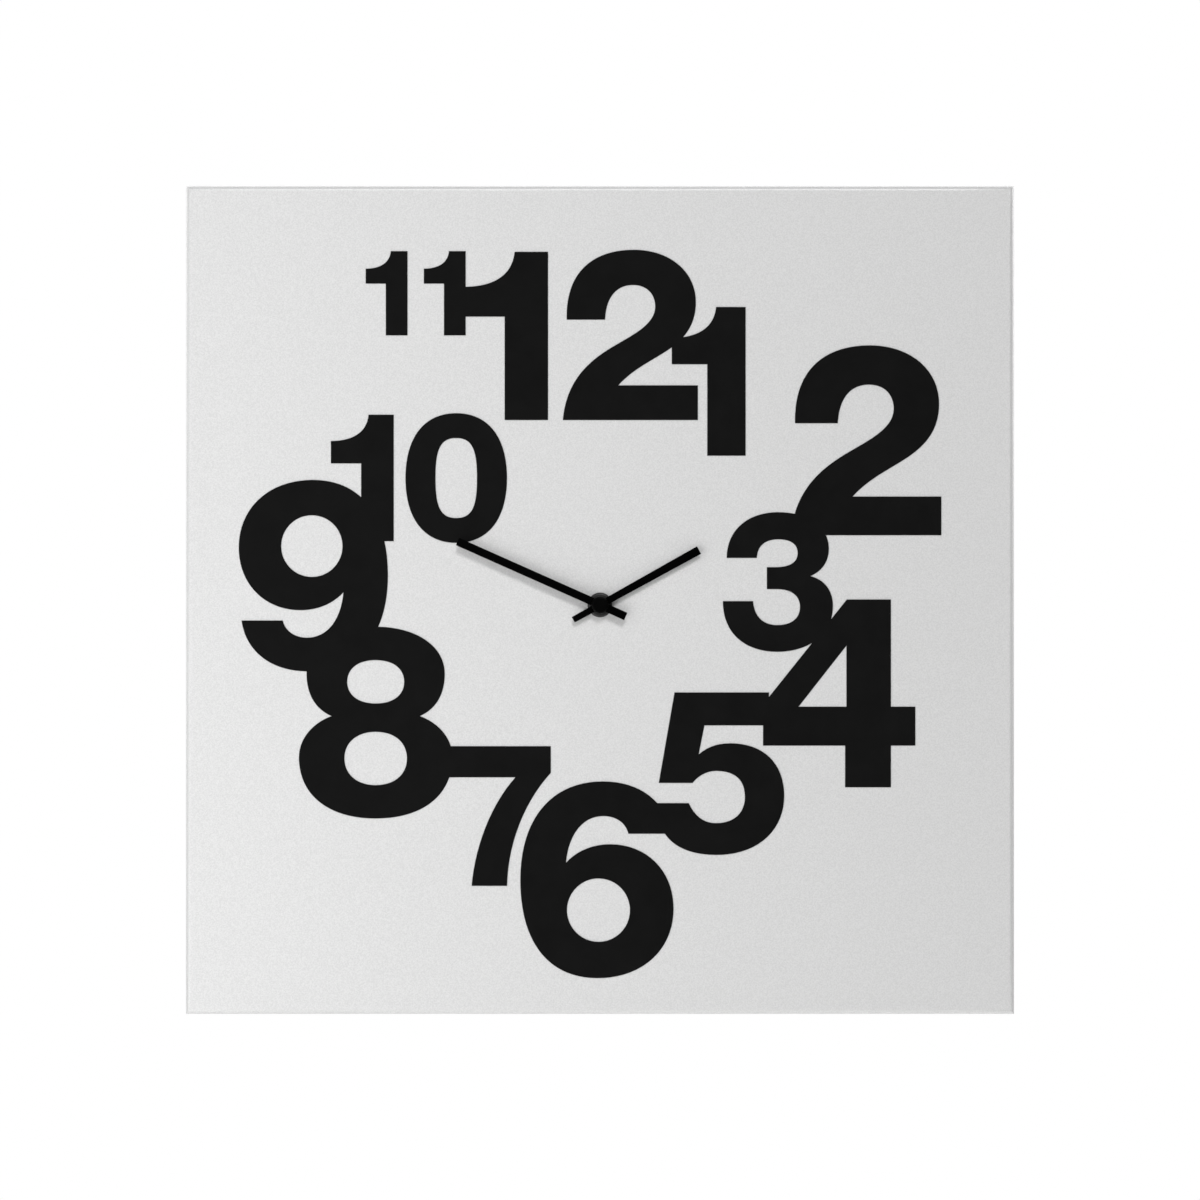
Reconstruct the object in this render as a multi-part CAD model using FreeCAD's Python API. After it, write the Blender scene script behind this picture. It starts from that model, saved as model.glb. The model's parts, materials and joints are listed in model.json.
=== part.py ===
import FreeCAD, Part
import math
import os
from FreeCAD import Vector

# Wall clock: a folded sheet-steel tray with cut-out style numerals on its face, two straight hands
# and a battery quartz movement fixed behind its centre.
# Millimetres. +X is right and +Z is up for someone who faces the clock, whose face looks along -Y.
# The wall is the plane y = 0. The origin is the seat of the wall screw in the hanger's keyhole.

# Tray
panel_side = 500.0
tray_depth = 24.0
sheet = 1.0
front_bend = 3.0
back_bend = 2.4
lip_width = 15.0
seam_gap = 0.4
bumper_height = 1.5
bumper_radius = 5.5
bumper_from_corner = 30.0
hanger_below_top = 55.0

# Numerals
numeral_height = 0.4
numeral_sheet = 500.0            # side of the panel that the numeral places below are drawn for

# Wall hanger
hanger_sheet = 1.5
hanger_width = 44.0
hanger_height = 34.0
hanger_foot = 13.0
hanger_wall_gap = 0.5
hanger_bend = 2.6
hanger_above_slot = 5.0
keyhole_slot = 4.4
keyhole_entry_radius = 5.0
keyhole_drop = 9.5
stud_radius = 2.0
stud_length = 7.5
stud_clearance = 0.2
stud_nut_flats = 7.0
stud_nut_height = 3.2

# Hands, measured from the hand axis and set as the clock shows them
hands_below_centre = 3.0
minute_direction = 156.0         # degrees counter-clockwise from +X, as seen from the front
minute_length = 94.0
minute_tail = 17.0
minute_width = 4.9
hour_direction = 29.0
hour_length = 68.3
hour_tail = 18.5
hour_tail_width = 3.8
hour_tip_width = 5.25
blade_thickness = 0.8
hand_boss_radius = 4.4
cap_radius = 5.1
cap_height = 2.2

# Stack in front of the panel, as heights above its face
nut_radius = 7.5
nut_height = 2.4
nut_round = 1.3                  # radius of the nut's front rim
bushing_above_nut = 0.4
hour_blade_height = 4.0
minute_blade_height = 6.4
collar_wall = 0.9
collar_gap = 0.3

# Movement case
movement_thickness = 16.0
movement_wall = 1.2
movement_corner = 3.0
washer_thickness = 0.5
washer_radius = 9.0
bushing_radius = 4.0
bushing_flange_radius = 5.2
bushing_clearance = 0.15

# Shafts and fits
fit = 0.05                       # radial clearance of every running fit
end_gap = 0.2                    # least gap along a shaft between pieces that turn past each other
second_arbor = 0.5
minute_tube = 1.4
hour_tube = 2.4
fine_arbor = 0.3
setting_shaft = 0.9
stud_pin = 0.7

# Gear train: centre distances, and where each axis lies round the one before it, in degrees
motion_distance = 7.2
motion_bearing = 90.0
setting_bearing = 90.0
third_distance = 9.0
third_bearing = 150.0
fifth_distance = 8.75
fifth_bearing = 30.0
rotor_distance = 9.0
rotor_bearing = 20.0

# Teeth
cannon_teeth = 12
motion_teeth = 36
motion_pinion_teeth = 10
hour_teeth = 40
setting_teeth = 12
centre_teeth = 60
third_pinion_teeth = 8
third_teeth = 64
second_pinion_teeth = 8
second_teeth = 60
fifth_pinion_teeth = 10
fifth_teeth = 60
rotor_pinion_teeth = 12
wheel_tooth_share = 0.42         # tooth thickness as a share of the pitch
pinion_tooth_share = 0.36
tooth_height = 0.85              # above the pitch circle, in modules
tooth_root = 1.25                # below the pitch circle, in modules

# Layers inside the movement, as depths behind its front face
gear_width = 0.7
hour_layer = 1.5
motion_layer = hour_layer + gear_width + 0.3
centre_layer = motion_layer + gear_width + 0.5
third_layer = centre_layer + gear_width + 0.5
second_layer = third_layer + gear_width + 0.5
fifth_layer = second_layer + gear_width + 0.5
rotor_layer = fifth_layer + gear_width + 0.5
rotor_height = 2.2
rotor_radius = 2.8
stator_gap = 0.5
stator_thickness = 1.0
bridge_thickness = 1.2

# Plates of the movement, as places from the hand axis
pillar_left = -19.0
pillar_right = 22.8
pillar_low = -7.0
pillar_high = 11.3
pillar_radius = 1.4
peg_radius = 0.7
bridge_margin = 1.9
snap_height = 7.0
snap_width = 6.0
snap_thickness = 0.8
snap_from_middle = 12.0
catch_slack = 0.1

# Motor and circuit, as places from the hand axis
coil_clearance = 0.45            # between the coil and the stator arm under it
coil_wall_gap = 1.2              # between the coil and the top wall of the case
coil_left = -9.0
coil_right = 16.0
coil_radius = 3.1
bobbin_flange = 3.6
bobbin_flange_width = 0.8
bobbin_radius = 1.9
core_width = 2.2
core_reach = 5.0
stator_left = 10.2
stator_right = 25.0
stator_low = 1.6
stator_high = 13.2
arm_width = 2.4
board_clearance = 0.3
board_thickness = 0.8
board_left = -25.5
board_right = 12.0
board_knob_gap = 1.7             # between the board and the setting knob's stem
board_height = 9.4
chip_radius = 2.4
chip_height = 0.9
can_radius = 1.0
can_length = 6.0

# Battery and its bay
cell_radius = 7.25
cell_length = 49.0
cell_nub_radius = 2.75
cell_nub_length = 1.5
bay_clearance = 0.35
contact_thickness = 0.4
contact_width = 9.0

# Setting knob
knob_radius = 5.5
knob_height = 2.6
knob_flutes = 18
flute_radius = 0.5

# Planes and centres that follow from the sizes above
panel_half = panel_side / 2
lip_y = -bumper_height
face_y = lip_y - tray_depth
panel_back_y = face_y + sheet
movement_y = panel_back_y + washer_thickness
panel_centre_z = hanger_below_top - panel_half
hanger_top_z = keyhole_slot / 2 + hanger_above_slot
axis_z = panel_centre_z - hands_below_centre
bridge_layer = rotor_layer + rotor_height + end_gap
bridge_back = bridge_layer + bridge_thickness
stator_depth = rotor_layer + (rotor_height - stator_thickness) / 2
coil_depth = stator_depth - core_width / 2
board_depth = coil_depth + bobbin_flange + board_clearance
hour_tube_bore = minute_tube + fit
setting_distance = motion_distance * (setting_teeth + motion_teeth) / (cannon_teeth + motion_teeth)
bushing_bore = hour_tube + fit
cell_depth = movement_wall + bay_clearance + cell_radius


def polar(distance, degrees, start=(0.0, 0.0)):
    """The point at a distance and bearing from a start point, all on the movement's plane."""
    turn = math.radians(degrees)
    return (start[0] + distance * math.cos(turn), start[1] + distance * math.sin(turn))


hand_axis = (0.0, 0.0)
motion_axis = polar(motion_distance, motion_bearing)
setting_axis = polar(setting_distance, setting_bearing, motion_axis)
third_axis = polar(third_distance, third_bearing)
fifth_axis = polar(fifth_distance, fifth_bearing)
rotor_axis = polar(rotor_distance, rotor_bearing, fifth_axis)

# The stator's arm passes over the setting shaft, the coil lies over the arm, and the case holds them all
board_low = setting_axis[1] + setting_shaft + board_knob_gap
board_high = board_low + board_height
arm_low = setting_axis[1] + setting_shaft + end_gap + fit
arm_high = arm_low + arm_width
coil_z = arm_high + coil_clearance + bobbin_flange
movement_half = coil_z + bobbin_flange + coil_wall_gap + movement_wall
cell_z = -movement_half + movement_wall + cell_radius + bay_clearance
bay_wall_z = cell_z + cell_radius + bay_clearance


# Basic solids. In the movement, a point is (x, z) from the hand axis and a depth is behind its front.

def cylinder(radius, y_front, y_back, x=0.0, z=0.0):
    return Part.makeCylinder(radius, y_back - y_front, Vector(x, y_front, z), Vector(0, 1, 0))


def block(x_span, y_span, z_span):
    size = [span[1] - span[0] for span in (x_span, y_span, z_span)]
    return Part.makeBox(size[0], size[1], size[2], Vector(x_span[0], y_span[0], z_span[0]))


def prism(points, y_front, y_back):
    """A plate with straight edges: (x, z) points pushed from one depth to the other."""
    corners = [Vector(x, y_front, z) for x, z in points]
    face = Part.Face(Part.makePolygon(corners + corners[:1]))
    return face.extrude(Vector(0, y_back - y_front, 0))


def shaft(radius, depth_front, depth_back, axis=hand_axis):
    return cylinder(radius, movement_y + depth_front, movement_y + depth_back, axis[0], axis_z + axis[1])


def works_block(x_span, depth_span, z_span):
    """A block placed by the hand axis and by depth behind the movement's front."""
    y_span = (movement_y + depth_span[0], movement_y + depth_span[1])
    return block(x_span, y_span, (axis_z + z_span[0], axis_z + z_span[1]))


def joined(shapes):
    whole = shapes[0]
    for shape in shapes[1:]:
        whole = whole.fuse(shape)
    return whole.removeSplitter()


def rounded_block(x_span, y_span, z_span, radius):
    """A block with its four edges along Y rounded."""
    solid = block(x_span, y_span, z_span)
    edges = [edge for edge in solid.Edges if edge_runs_along(edge, Vector(0, 1, 0))]
    return solid.makeFillet(radius, edges)


def edge_runs_along(edge, direction):
    run = edge.Vertexes[-1].Point - edge.Vertexes[0].Point
    return run.cross(direction).Length < 1e-6


# Case

def tray_box(inset, depth_front, depth_back, front_radius, back_radius):
    """A square box with its front and back edges rounded and its four side corners sharp."""
    half = panel_half - inset
    middle = panel_centre_z
    solid = block((-half, half), (depth_front, depth_back), (middle - half, middle + half))
    front = [edge for edge in solid.Edges if edge.BoundBox.YMax < depth_front + 1e-6]
    back = [edge for edge in solid.Edges if edge.BoundBox.YMin > depth_back - 1e-6]
    solid = solid.makeFillet(front_radius, front)
    back = [edge for edge in solid.Edges if edge.BoundBox.YMin > depth_back - 1e-6]
    return solid.makeFillet(back_radius, back)


def case_tray():
    outer = tray_box(0.0, face_y, lip_y, front_bend, back_bend)
    inner = tray_box(sheet, panel_back_y, lip_y - sheet, front_bend - sheet, back_bend - sheet)
    mouth_half = panel_half - lip_width
    mouth = block((-mouth_half, mouth_half), (lip_y - 2 * sheet, lip_y + sheet),
                  (panel_centre_z - mouth_half, panel_centre_z + mouth_half))
    tray = outer.cut(inner).cut(mouth)
    seam_start = mouth_half - lip_width
    seam_end = panel_half + sheet
    for turn in (45, 135, 225, 315):
        seam = block((seam_start * math.sqrt(2), seam_end * math.sqrt(2)),
                     (face_y + front_bend, lip_y + sheet), (-seam_gap / 2, seam_gap / 2))
        seam.rotate(Vector(0, 0, 0), Vector(0, 1, 0), turn)
        seam.translate(Vector(0, 0, panel_centre_z))
        tray = tray.cut(seam)
    return tray.cut(cylinder(bushing_radius + bushing_clearance, face_y - sheet, lip_y, 0, axis_z))


def wall_bumper(side, end):
    """A rubber pad on the back lip; side is -1 left or 1 right, end is -1 bottom or 1 top."""
    x = side * (panel_half - bumper_from_corner)
    z = panel_centre_z + end * (panel_half - (lip_width + back_bend) / 2)
    pad = cylinder(bumper_radius, lip_y, 0.0, x, z)
    rim = [edge for edge in pad.Edges if edge.BoundBox.YMin > -1e-6]
    return pad.makeFillet(bumper_height / 3, rim)


# Numerals: outlines on a grid where a digit is 100 high, its foot at 0 and its left side near 0.
# M starts an outline, L is a straight run and C is a cubic curve with two control points.

digit_outlines = {
    "0": ["M 0 50 C 0 82.5 15 101.2 40.1 101.2 C 65.2 101.2 80.2 82.5 80.2 50 "
          "C 80.2 17.5 65.2 -1.2 40.1 -1.2 C 15 -1.2 0 17.5 0 50",
          "M 23.7 50 C 23.7 72 27.2 81.6 40.1 81.6 C 53 81.6 56.5 72 56.5 50 "
          "C 56.5 28 53 18.4 40.1 18.4 C 27.2 18.4 23.7 28 23.7 50"],
    "1": ["M 23.9 0 L 49.7 0 L 49.7 100 L 29.8 100 C 28.5 86.5 18 79.3 0 79.2 "
          "L 0 61.5 L 23.9 61.5 L 23.9 0"],
    "2": ["M -2.3 0 L 78 0 L 78 20.6 L 30.6 20.6 C 40.5 31.2 50.5 35 61 42.2 "
          "C 71.5 49.5 76.8 58 76.8 70 C 76.8 88.5 61 101.2 40 101.2 C 15.5 101.2 -0.8 88 0 59.7 "
          "L 22.8 59.7 C 23.4 73 29.5 80.3 39.5 80.3 C 47 80.3 52.6 75.5 52.6 67.5 C 52.6 58 42 52 31.5 46 "
          "C 17.5 38 0 27 -2.3 0"],
    "3": ["M 0.7 35.7 L 22.7 35.7 C 23.5 24.5 30 18.2 40.5 18.2 C 50.5 18.2 57 23 57 31.5 "
          "C 57 40 50.5 44.5 40 44.5 L 32.8 44.5 L 32.8 60.5 L 39 60.5 C 49.5 60.5 55.3 64 55.3 71 "
          "C 55.3 77.5 50 80.9 41 80.9 C 31.5 80.9 25.8 76 25.5 67.3 L 3.4 67.3 "
          "C 3.6 88 19 100.7 41 100.7 C 63 100.7 78.1 90 78.1 74 C 78.1 64.5 73 57.5 64.5 54 "
          "C 75 51.5 81.1 43.5 81.1 32 C 81.1 12 64 -1.3 40.5 -1.3 C 16 -1.3 0.5 13 0.7 35.7"],
    "4": ["M 43.7 0 L 68.1 0 L 68.1 22.2 L 81.1 22.2 L 81.1 42.9 L 68.1 42.9 L 68.1 100 L 44.6 100 "
          "L 0 44.2 L 0 22.2 L 43.7 22.2 L 43.7 0",
          "M 18.9 42.9 L 44.4 42.9 L 44.4 75.4 L 18.9 42.9"],
    "5": ["M 0 31 L 20.1 31 C 23.5 23.5 29 18.5 37 18.5 C 48 18.5 55.1 24.5 55.1 35 "
          "C 55.1 45.5 49 51.1 37 51.1 C 30.5 51 25.5 47.5 22.5 43.6 L 1.4 43.6 L 11.2 100 L 70.1 100 "
          "L 70.1 79.5 L 29.9 79.5 L 26.3 61.4 C 31 65.5 37 68.3 46 68.3 C 66.5 68.3 79.6 56 79.6 35.5 "
          "C 79.6 13.5 62.5 -1.3 37.5 -1.3 C 16 -1.3 0.2 7.5 0 31"],
    "6": ["M 0 50 C 0 81 15.5 101.2 43 101.2 C 62 101.2 76 91 78.3 74 L 56.3 74 "
          "C 55 79.5 50 83.2 43.3 83.2 C 33 83.2 25.2 74.5 23.8 58.9 C 28.5 64.2 36.5 68.5 46.7 68.5 "
          "C 66 68.5 79.8 54.5 79.8 35 "
          "C 79.8 13.5 63.5 -1.2 40.2 -1.2 C 15 -1.2 0 17 0 50",
          "M 24.3 34.2 C 24.3 43.3 31.6 50.7 40.7 50.7 C 49.8 50.7 57.1 43.3 57.1 34.2 "
          "C 57.1 25.1 49.8 17.7 40.7 17.7 C 31.6 17.7 24.3 25.1 24.3 34.2"],
    "7": ["M 17.4 0 L 42.8 0 C 43.6 33 57 62.5 74.2 81 L 74.2 100.2 L 0 100.2 L 0 77.9 L 48.8 77.9 "
          "C 33 60.5 20 31 17.4 0"],
    "8": ["M 41 101.2 C 62.5 101.2 77.9 91 77.9 76 C 77.9 65 73 57 64.5 53.5 C 74.5 50 82 41.5 82 31.5 "
          "C 82 11.5 66.5 -1.2 41 -1.2 C 15.5 -1.2 0 11.5 0 31.5 C 0 41.5 7.5 50 17.5 53.5 "
          "C 9 57 4.1 65 4.1 76 C 4.1 91 19.5 101.2 41 101.2",
          "M 41 83.4 C 50.5 83.4 56.2 78.8 56.2 71.8 C 56.2 64.8 50.5 60.2 41 60.2 "
          "C 31.5 60.2 25.8 64.8 25.8 71.8 C 25.8 78.8 31.5 83.4 41 83.4",
          "M 41 45.1 C 51 45.1 57.7 39.5 57.7 30.9 C 57.7 22.3 51 16.6 41 16.6 "
          "C 31 16.6 24.3 22.3 24.3 30.9 C 24.3 39.5 31 45.1 41 45.1"],
}
nine_turn_centre = (39.9, 50.0)  # the 9 is the 6 turned half round about this point

# Each numeral piece lists its digits as: digit, left side, foot and height. Left side and foot are
# measured from the panel's centre. Digits that touch are cut as one piece.
numeral_pieces = {
    "numeral_11_first_one": [("1", -141.4, 159.7, 50.8)],
    "numeral_11_and_12_ones": [("1", -106.3, 159.7, 50.8), ("1", -81.8, 108.6, 101.5)],
    "numeral_12_two_and_1": [("2", -20.1, 108.6, 101.5), ("1", 43.3, 87.1, 89.7)],
    "numeral_2_to_6": [("2", 117.7, 39.1, 113.2), ("3", 73.6, -30.2, 82.6), ("4", 98.4, -113.0, 113.3),
                       ("5", 34.1, -152.6, 96.8), ("6", -48.1, -226.8, 115.9)],
    "numeral_7_to_10_one": [("7", -92.1, -172.5, 84.1), ("8", -181.7, -130.5, 113.0),
                            ("9", -218.0, -41.7, 112.8), ("1", -162.4, 35.5, 76.3)],
    "numeral_10_zero": [("0", -117.4, 35.4, 76.4)],
}


def digit_wire(path, place):
    """One closed outline; place turns a grid point into a point on the panel's face."""
    words = path.split()
    edges = []
    here = None
    while words:
        step = words.pop(0)
        count = 3 if step == "C" else 1
        points = []
        for _ in range(count):
            across = float(words.pop(0))
            up = float(words.pop(0))
            points.append(place(across, up))
        if step == "L":
            edges.append(Part.LineSegment(here, points[0]).toShape())
        if step == "C":
            curve = Part.BezierCurve()
            curve.setPoles([here] + points)
            edges.append(curve.toShape())
        here = points[-1]
    return Part.Wire(edges)


def digit(name, left, foot, height):
    share = panel_side / numeral_sheet
    scale = height * share / 100

    def place(across, up):
        if name == "9":
            across = 2 * nine_turn_centre[0] - across
            up = 2 * nine_turn_centre[1] - up
        return Vector(left * share + across * scale, face_y, panel_centre_z + foot * share + up * scale)

    outlines = digit_outlines["6" if name == "9" else name]
    face = Part.Face(digit_wire(outlines[0], place))
    for hole in outlines[1:]:
        face = face.cut(Part.Face(digit_wire(hole, place)))
    return face.Faces[0].extrude(Vector(0, -numeral_height, 0))


def numeral_piece(name):
    return joined([digit(*entry) for entry in numeral_pieces[name]])


# Wall hanger: a hat-shaped strip whose raised middle holds the keyhole

def hanger_bracket():
    half = hanger_width / 2
    foot_end = half + hanger_foot
    inner = half - hanger_sheet
    top_y = -hanger_wall_gap
    under_y = top_y - hanger_sheet
    low_y = panel_back_y
    foot_y = low_y + hanger_sheet
    outline = [(-foot_end, low_y), (-foot_end, foot_y), (-half, foot_y), (-half, top_y),
               (half, top_y), (half, foot_y), (foot_end, foot_y), (foot_end, low_y),
               (inner, low_y), (inner, under_y), (-inner, under_y), (-inner, low_y)]
    corners = [Vector(x, y, hanger_top_z - hanger_height) for x, y in outline]
    strip = Part.Face(Part.makePolygon(corners + corners[:1])).extrude(Vector(0, 0, hanger_height))
    outside = {(half, top_y), (inner, low_y)}
    inside = {(inner, under_y), (half, foot_y)}
    for places, radius in ((outside, hanger_bend), (inside, hanger_bend - hanger_sheet)):
        bends = [edge for edge in strip.Edges if runs_up_at(edge, places)]
        strip = strip.makeFillet(radius, bends)
    slot_half = keyhole_slot / 2
    through = (under_y - hanger_sheet, top_y + hanger_sheet)
    strip = strip.cut(cylinder(slot_half, through[0], through[1]))
    strip = strip.cut(block((-slot_half, slot_half), through, (-keyhole_drop, 0)))
    strip = strip.cut(cylinder(keyhole_entry_radius, through[0], through[1], 0, -keyhole_drop))
    for x, z in stud_places():
        strip = strip.cut(cylinder(stud_radius + stud_clearance, low_y - 1, foot_y + 1, x, z))
    return strip


def runs_up_at(edge, places):
    if not edge_runs_along(edge, Vector(0, 0, 1)):
        return False
    point = edge.Vertexes[0].Point
    return any(abs(abs(point.x) - x) < 1e-6 and abs(point.y - y) < 1e-6 for x, y in places)


def stud_places():
    x = hanger_width / 2 + (hanger_foot + hanger_bend) / 2
    z = hanger_top_z - hanger_height / 2
    return [(-x, z), (x, z)]


def hanger_studs():
    return Part.makeCompound([cylinder(stud_radius, panel_back_y, panel_back_y + stud_length, x, z)
                              for x, z in stud_places()])


def hex_nut(flats, bore, y_front, y_back, x, z):
    corner = flats / math.sqrt(3)
    points = [polar(corner, 60 * k, (x, z)) for k in range(6)]
    return prism(points, y_front, y_back).cut(cylinder(bore, y_front - 1, y_back + 1, x, z))


def hanger_nuts():
    seat = panel_back_y + hanger_sheet
    return Part.makeCompound([hex_nut(stud_nut_flats, stud_radius, seat, seat + stud_nut_height, x, z)
                              for x, z in stud_places()])


# Fixing of the movement

def rubber_washer():
    solid = cylinder(washer_radius, panel_back_y, movement_y, 0, axis_z)
    bore = bushing_radius + bushing_clearance
    return solid.cut(cylinder(bore, panel_back_y - 1, movement_y + 1, 0, axis_z))


def threaded_bushing():
    tip_y = face_y - nut_height - bushing_above_nut
    back_y = movement_y + movement_wall
    solid = cylinder(bushing_radius, tip_y, back_y, 0, axis_z)
    tip = [edge for edge in solid.Edges if edge.BoundBox.YMax < tip_y + 1e-6]
    solid = solid.makeChamfer(bushing_above_nut, tip)
    flange = cylinder(bushing_flange_radius, back_y - movement_wall / 2, back_y, 0, axis_z)
    return joined([solid, flange]).cut(cylinder(bushing_bore, tip_y - 1, back_y + 1, 0, axis_z))


def fixing_nut():
    solid = cylinder(nut_radius, face_y - nut_height, face_y, 0, axis_z)
    rim = [edge for edge in solid.Edges if edge.BoundBox.YMax < face_y - nut_height + 1e-6]
    solid = solid.makeFillet(nut_round, rim)
    return solid.cut(cylinder(bushing_radius, face_y - nut_height - 1, face_y + 1, 0, axis_z))


# Hands

def hand_blade(direction, tail, tail_width, length, tip_width, height):
    """A flat tapered bar with a round boss; height is that of its back above the panel's face."""
    back = face_y - height
    front = back - blade_thickness
    outline = [(-tail, -tail_width / 2), (length, -tip_width / 2),
               (length, tip_width / 2), (-tail, tail_width / 2)]
    turn = math.radians(direction)
    points = [(x * math.cos(turn) - z * math.sin(turn), axis_z + x * math.sin(turn) + z * math.cos(turn))
              for x, z in outline]
    bar = prism(points, front, back)
    return joined([bar, cylinder(hand_boss_radius, front, back, 0, axis_z)])


def hand_collar(inner, foot, height, blade_height):
    """A turned sleeve that grips its tube and is riveted into the blade.

    foot and height are above the panel's face."""
    back_y = face_y - blade_height
    solid = cylinder(inner + collar_wall, face_y - height, face_y - foot, 0, axis_z)
    flange = cylinder(hand_boss_radius, back_y, back_y + blade_thickness / 2, 0, axis_z)
    return joined([solid, flange]).cut(cylinder(inner, face_y - height - 1, face_y - foot + 1, 0, axis_z))


def collar_hole(inner):
    return cylinder(inner + collar_wall, face_y - 2 * minute_blade_height, face_y, 0, axis_z)


def hour_hand():
    blade = hand_blade(hour_direction, hour_tail, hour_tail_width, hour_length, hour_tip_width,
                       hour_blade_height)
    return blade.cut(collar_hole(hour_tube))


def hour_hand_collar():
    foot = nut_height + bushing_above_nut + collar_gap
    return hand_collar(hour_tube, foot, hour_blade_height + blade_thickness, hour_blade_height)


def minute_hand():
    blade = hand_blade(minute_direction, minute_tail, minute_width, minute_length, minute_width,
                       minute_blade_height)
    return blade.cut(collar_hole(minute_tube))


def minute_hand_collar():
    foot = hour_blade_height + blade_thickness + collar_gap
    return hand_collar(minute_tube, foot, minute_blade_height + blade_thickness, minute_blade_height)


def hand_cap_nut():
    """The domed nut that screws on the end of the minute tube."""
    seat = face_y - minute_blade_height - blade_thickness
    top = seat - cap_height
    solid = cylinder(cap_radius, top, seat, 0, axis_z)
    rim = [edge for edge in solid.Edges if edge.BoundBox.YMax < top + 1e-6]
    solid = solid.makeFillet(cap_height * 0.45, rim)
    return solid.cut(cylinder(minute_tube, top + cap_height / 2, seat + 1, 0, axis_z))


# Gears

def module_for(distance, teeth_a, teeth_b):
    return 2 * distance / (teeth_a + teeth_b)


def gear(teeth, module, share, phase, depth, axis, width=gear_width):
    """A toothed disc. Each tooth has straight flanks below the pitch circle and one arc over its tip.

    phase is the bearing of one tooth in degrees."""
    pitch_radius = teeth * module / 2
    root_radius = pitch_radius - tooth_root * module
    tip_radius = pitch_radius + tooth_height * module
    half = 180 * share / teeth
    y = movement_y + depth
    edges = []

    def point(radius, bearing):
        x, z = polar(radius, bearing, axis)
        return Vector(x, y, axis_z + z)

    for k in range(teeth):
        middle = phase + 360 * k / teeth
        after = middle + 360 / teeth
        low_left = point(root_radius, middle - half)
        left = point(pitch_radius, middle - half)
        right = point(pitch_radius, middle + half)
        low_right = point(root_radius, middle + half)
        edges.append(Part.LineSegment(low_left, left).toShape())
        edges.append(Part.Arc(left, point(tip_radius, middle), right).toShape())
        edges.append(Part.LineSegment(right, low_right).toShape())
        edges.append(Part.LineSegment(low_right, point(root_radius, after - half)).toShape())
    return Part.Face(Part.Wire(edges)).extrude(Vector(0, width, 0))


def meshed_phase(bearing, driver_teeth, driver_phase, teeth):
    """The phase that puts a gap of this gear over the tooth of its driver; bearing is driver to gear."""
    offset = driver_phase - bearing
    return bearing + 180 + (180 - offset * driver_teeth) / teeth


motion_module = module_for(motion_distance, cannon_teeth, motion_teeth)
hour_module = module_for(motion_distance, motion_pinion_teeth, hour_teeth)
setting_module = module_for(setting_distance, setting_teeth, motion_teeth)
centre_module = module_for(third_distance, centre_teeth, third_pinion_teeth)
third_module = module_for(third_distance, third_teeth, second_pinion_teeth)
second_module = module_for(fifth_distance, second_teeth, fifth_pinion_teeth)
fifth_module = module_for(rotor_distance, fifth_teeth, rotor_pinion_teeth)

motion_phase = meshed_phase(motion_bearing, cannon_teeth, motion_bearing, motion_teeth)
hour_phase = meshed_phase(motion_bearing + 180, motion_pinion_teeth, motion_bearing, hour_teeth)
setting_phase = meshed_phase(setting_bearing, motion_teeth, motion_phase, setting_teeth)
third_pinion_phase = meshed_phase(third_bearing, centre_teeth, 0, third_pinion_teeth)
second_pinion_phase = meshed_phase(third_bearing + 180, third_teeth, 0, second_pinion_teeth)
fifth_pinion_phase = meshed_phase(fifth_bearing, second_teeth, 0, fifth_pinion_teeth)
rotor_pinion_phase = meshed_phase(rotor_bearing, fifth_teeth, 0, rotor_pinion_teeth)


def cannon_pinion():
    """The minute tube with its pinion, whose closed front end carries the minute hand."""
    tip = -(face_y - movement_y) + minute_blade_height + blade_thickness + cap_height / 2
    tube = shaft(minute_tube, -tip, centre_layer + gear_width)
    pinion = gear(cannon_teeth, motion_module, pinion_tooth_share, motion_bearing, motion_layer, hand_axis)
    return joined([tube, pinion]).cut(shaft(second_arbor + fit, hour_layer, centre_layer + 2 * gear_width))


def centre_wheel():
    wheel = gear(centre_teeth, centre_module, wheel_tooth_share, 0, centre_layer, hand_axis)
    return wheel.cut(shaft(minute_tube, centre_layer - 1, centre_layer + gear_width + 1))


def hour_wheel():
    """The hour tube with its wheel, running on the minute tube inside the bushing."""
    tip = -(face_y - movement_y) + hour_blade_height + blade_thickness
    tube = shaft(hour_tube, -tip, hour_layer + gear_width)
    wheel = gear(hour_teeth, hour_module, wheel_tooth_share, hour_phase, hour_layer, hand_axis)
    return joined([tube, wheel]).cut(shaft(hour_tube_bore, -tip - 1, hour_layer + gear_width + 1))


def motion_wheel():
    wheel = gear(motion_teeth, motion_module, wheel_tooth_share, motion_phase, motion_layer, motion_axis)
    pinion = gear(motion_pinion_teeth, hour_module, pinion_tooth_share, motion_bearing, hour_layer,
                  motion_axis, motion_layer - hour_layer)
    return joined([wheel, pinion]).cut(shaft(stud_pin + fit, 0, centre_layer, motion_axis))


def pinion_on_arbor(teeth, module, phase, layer, axis, arbor, depth_front, depth_back):
    pinion = gear(teeth, module, pinion_tooth_share, phase, layer, axis)
    return joined([pinion, shaft(arbor, depth_front, depth_back, axis)])


def wheel_on_arbor(teeth, module, layer, axis, arbor):
    wheel = gear(teeth, module, wheel_tooth_share, 0, layer, axis)
    return wheel.cut(shaft(arbor, layer - 1, layer + gear_width + 1, axis))


def third_pinion():
    return pinion_on_arbor(third_pinion_teeth, centre_module, third_pinion_phase, centre_layer, third_axis,
                           fine_arbor, movement_wall / 2, bridge_back)


def third_wheel():
    return wheel_on_arbor(third_teeth, third_module, third_layer, third_axis, fine_arbor)


def second_pinion():
    return pinion_on_arbor(second_pinion_teeth, third_module, second_pinion_phase, third_layer, hand_axis,
                           second_arbor, hour_layer + end_gap, bridge_back)


def second_wheel():
    return wheel_on_arbor(second_teeth, second_module, second_layer, hand_axis, second_arbor)


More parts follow.
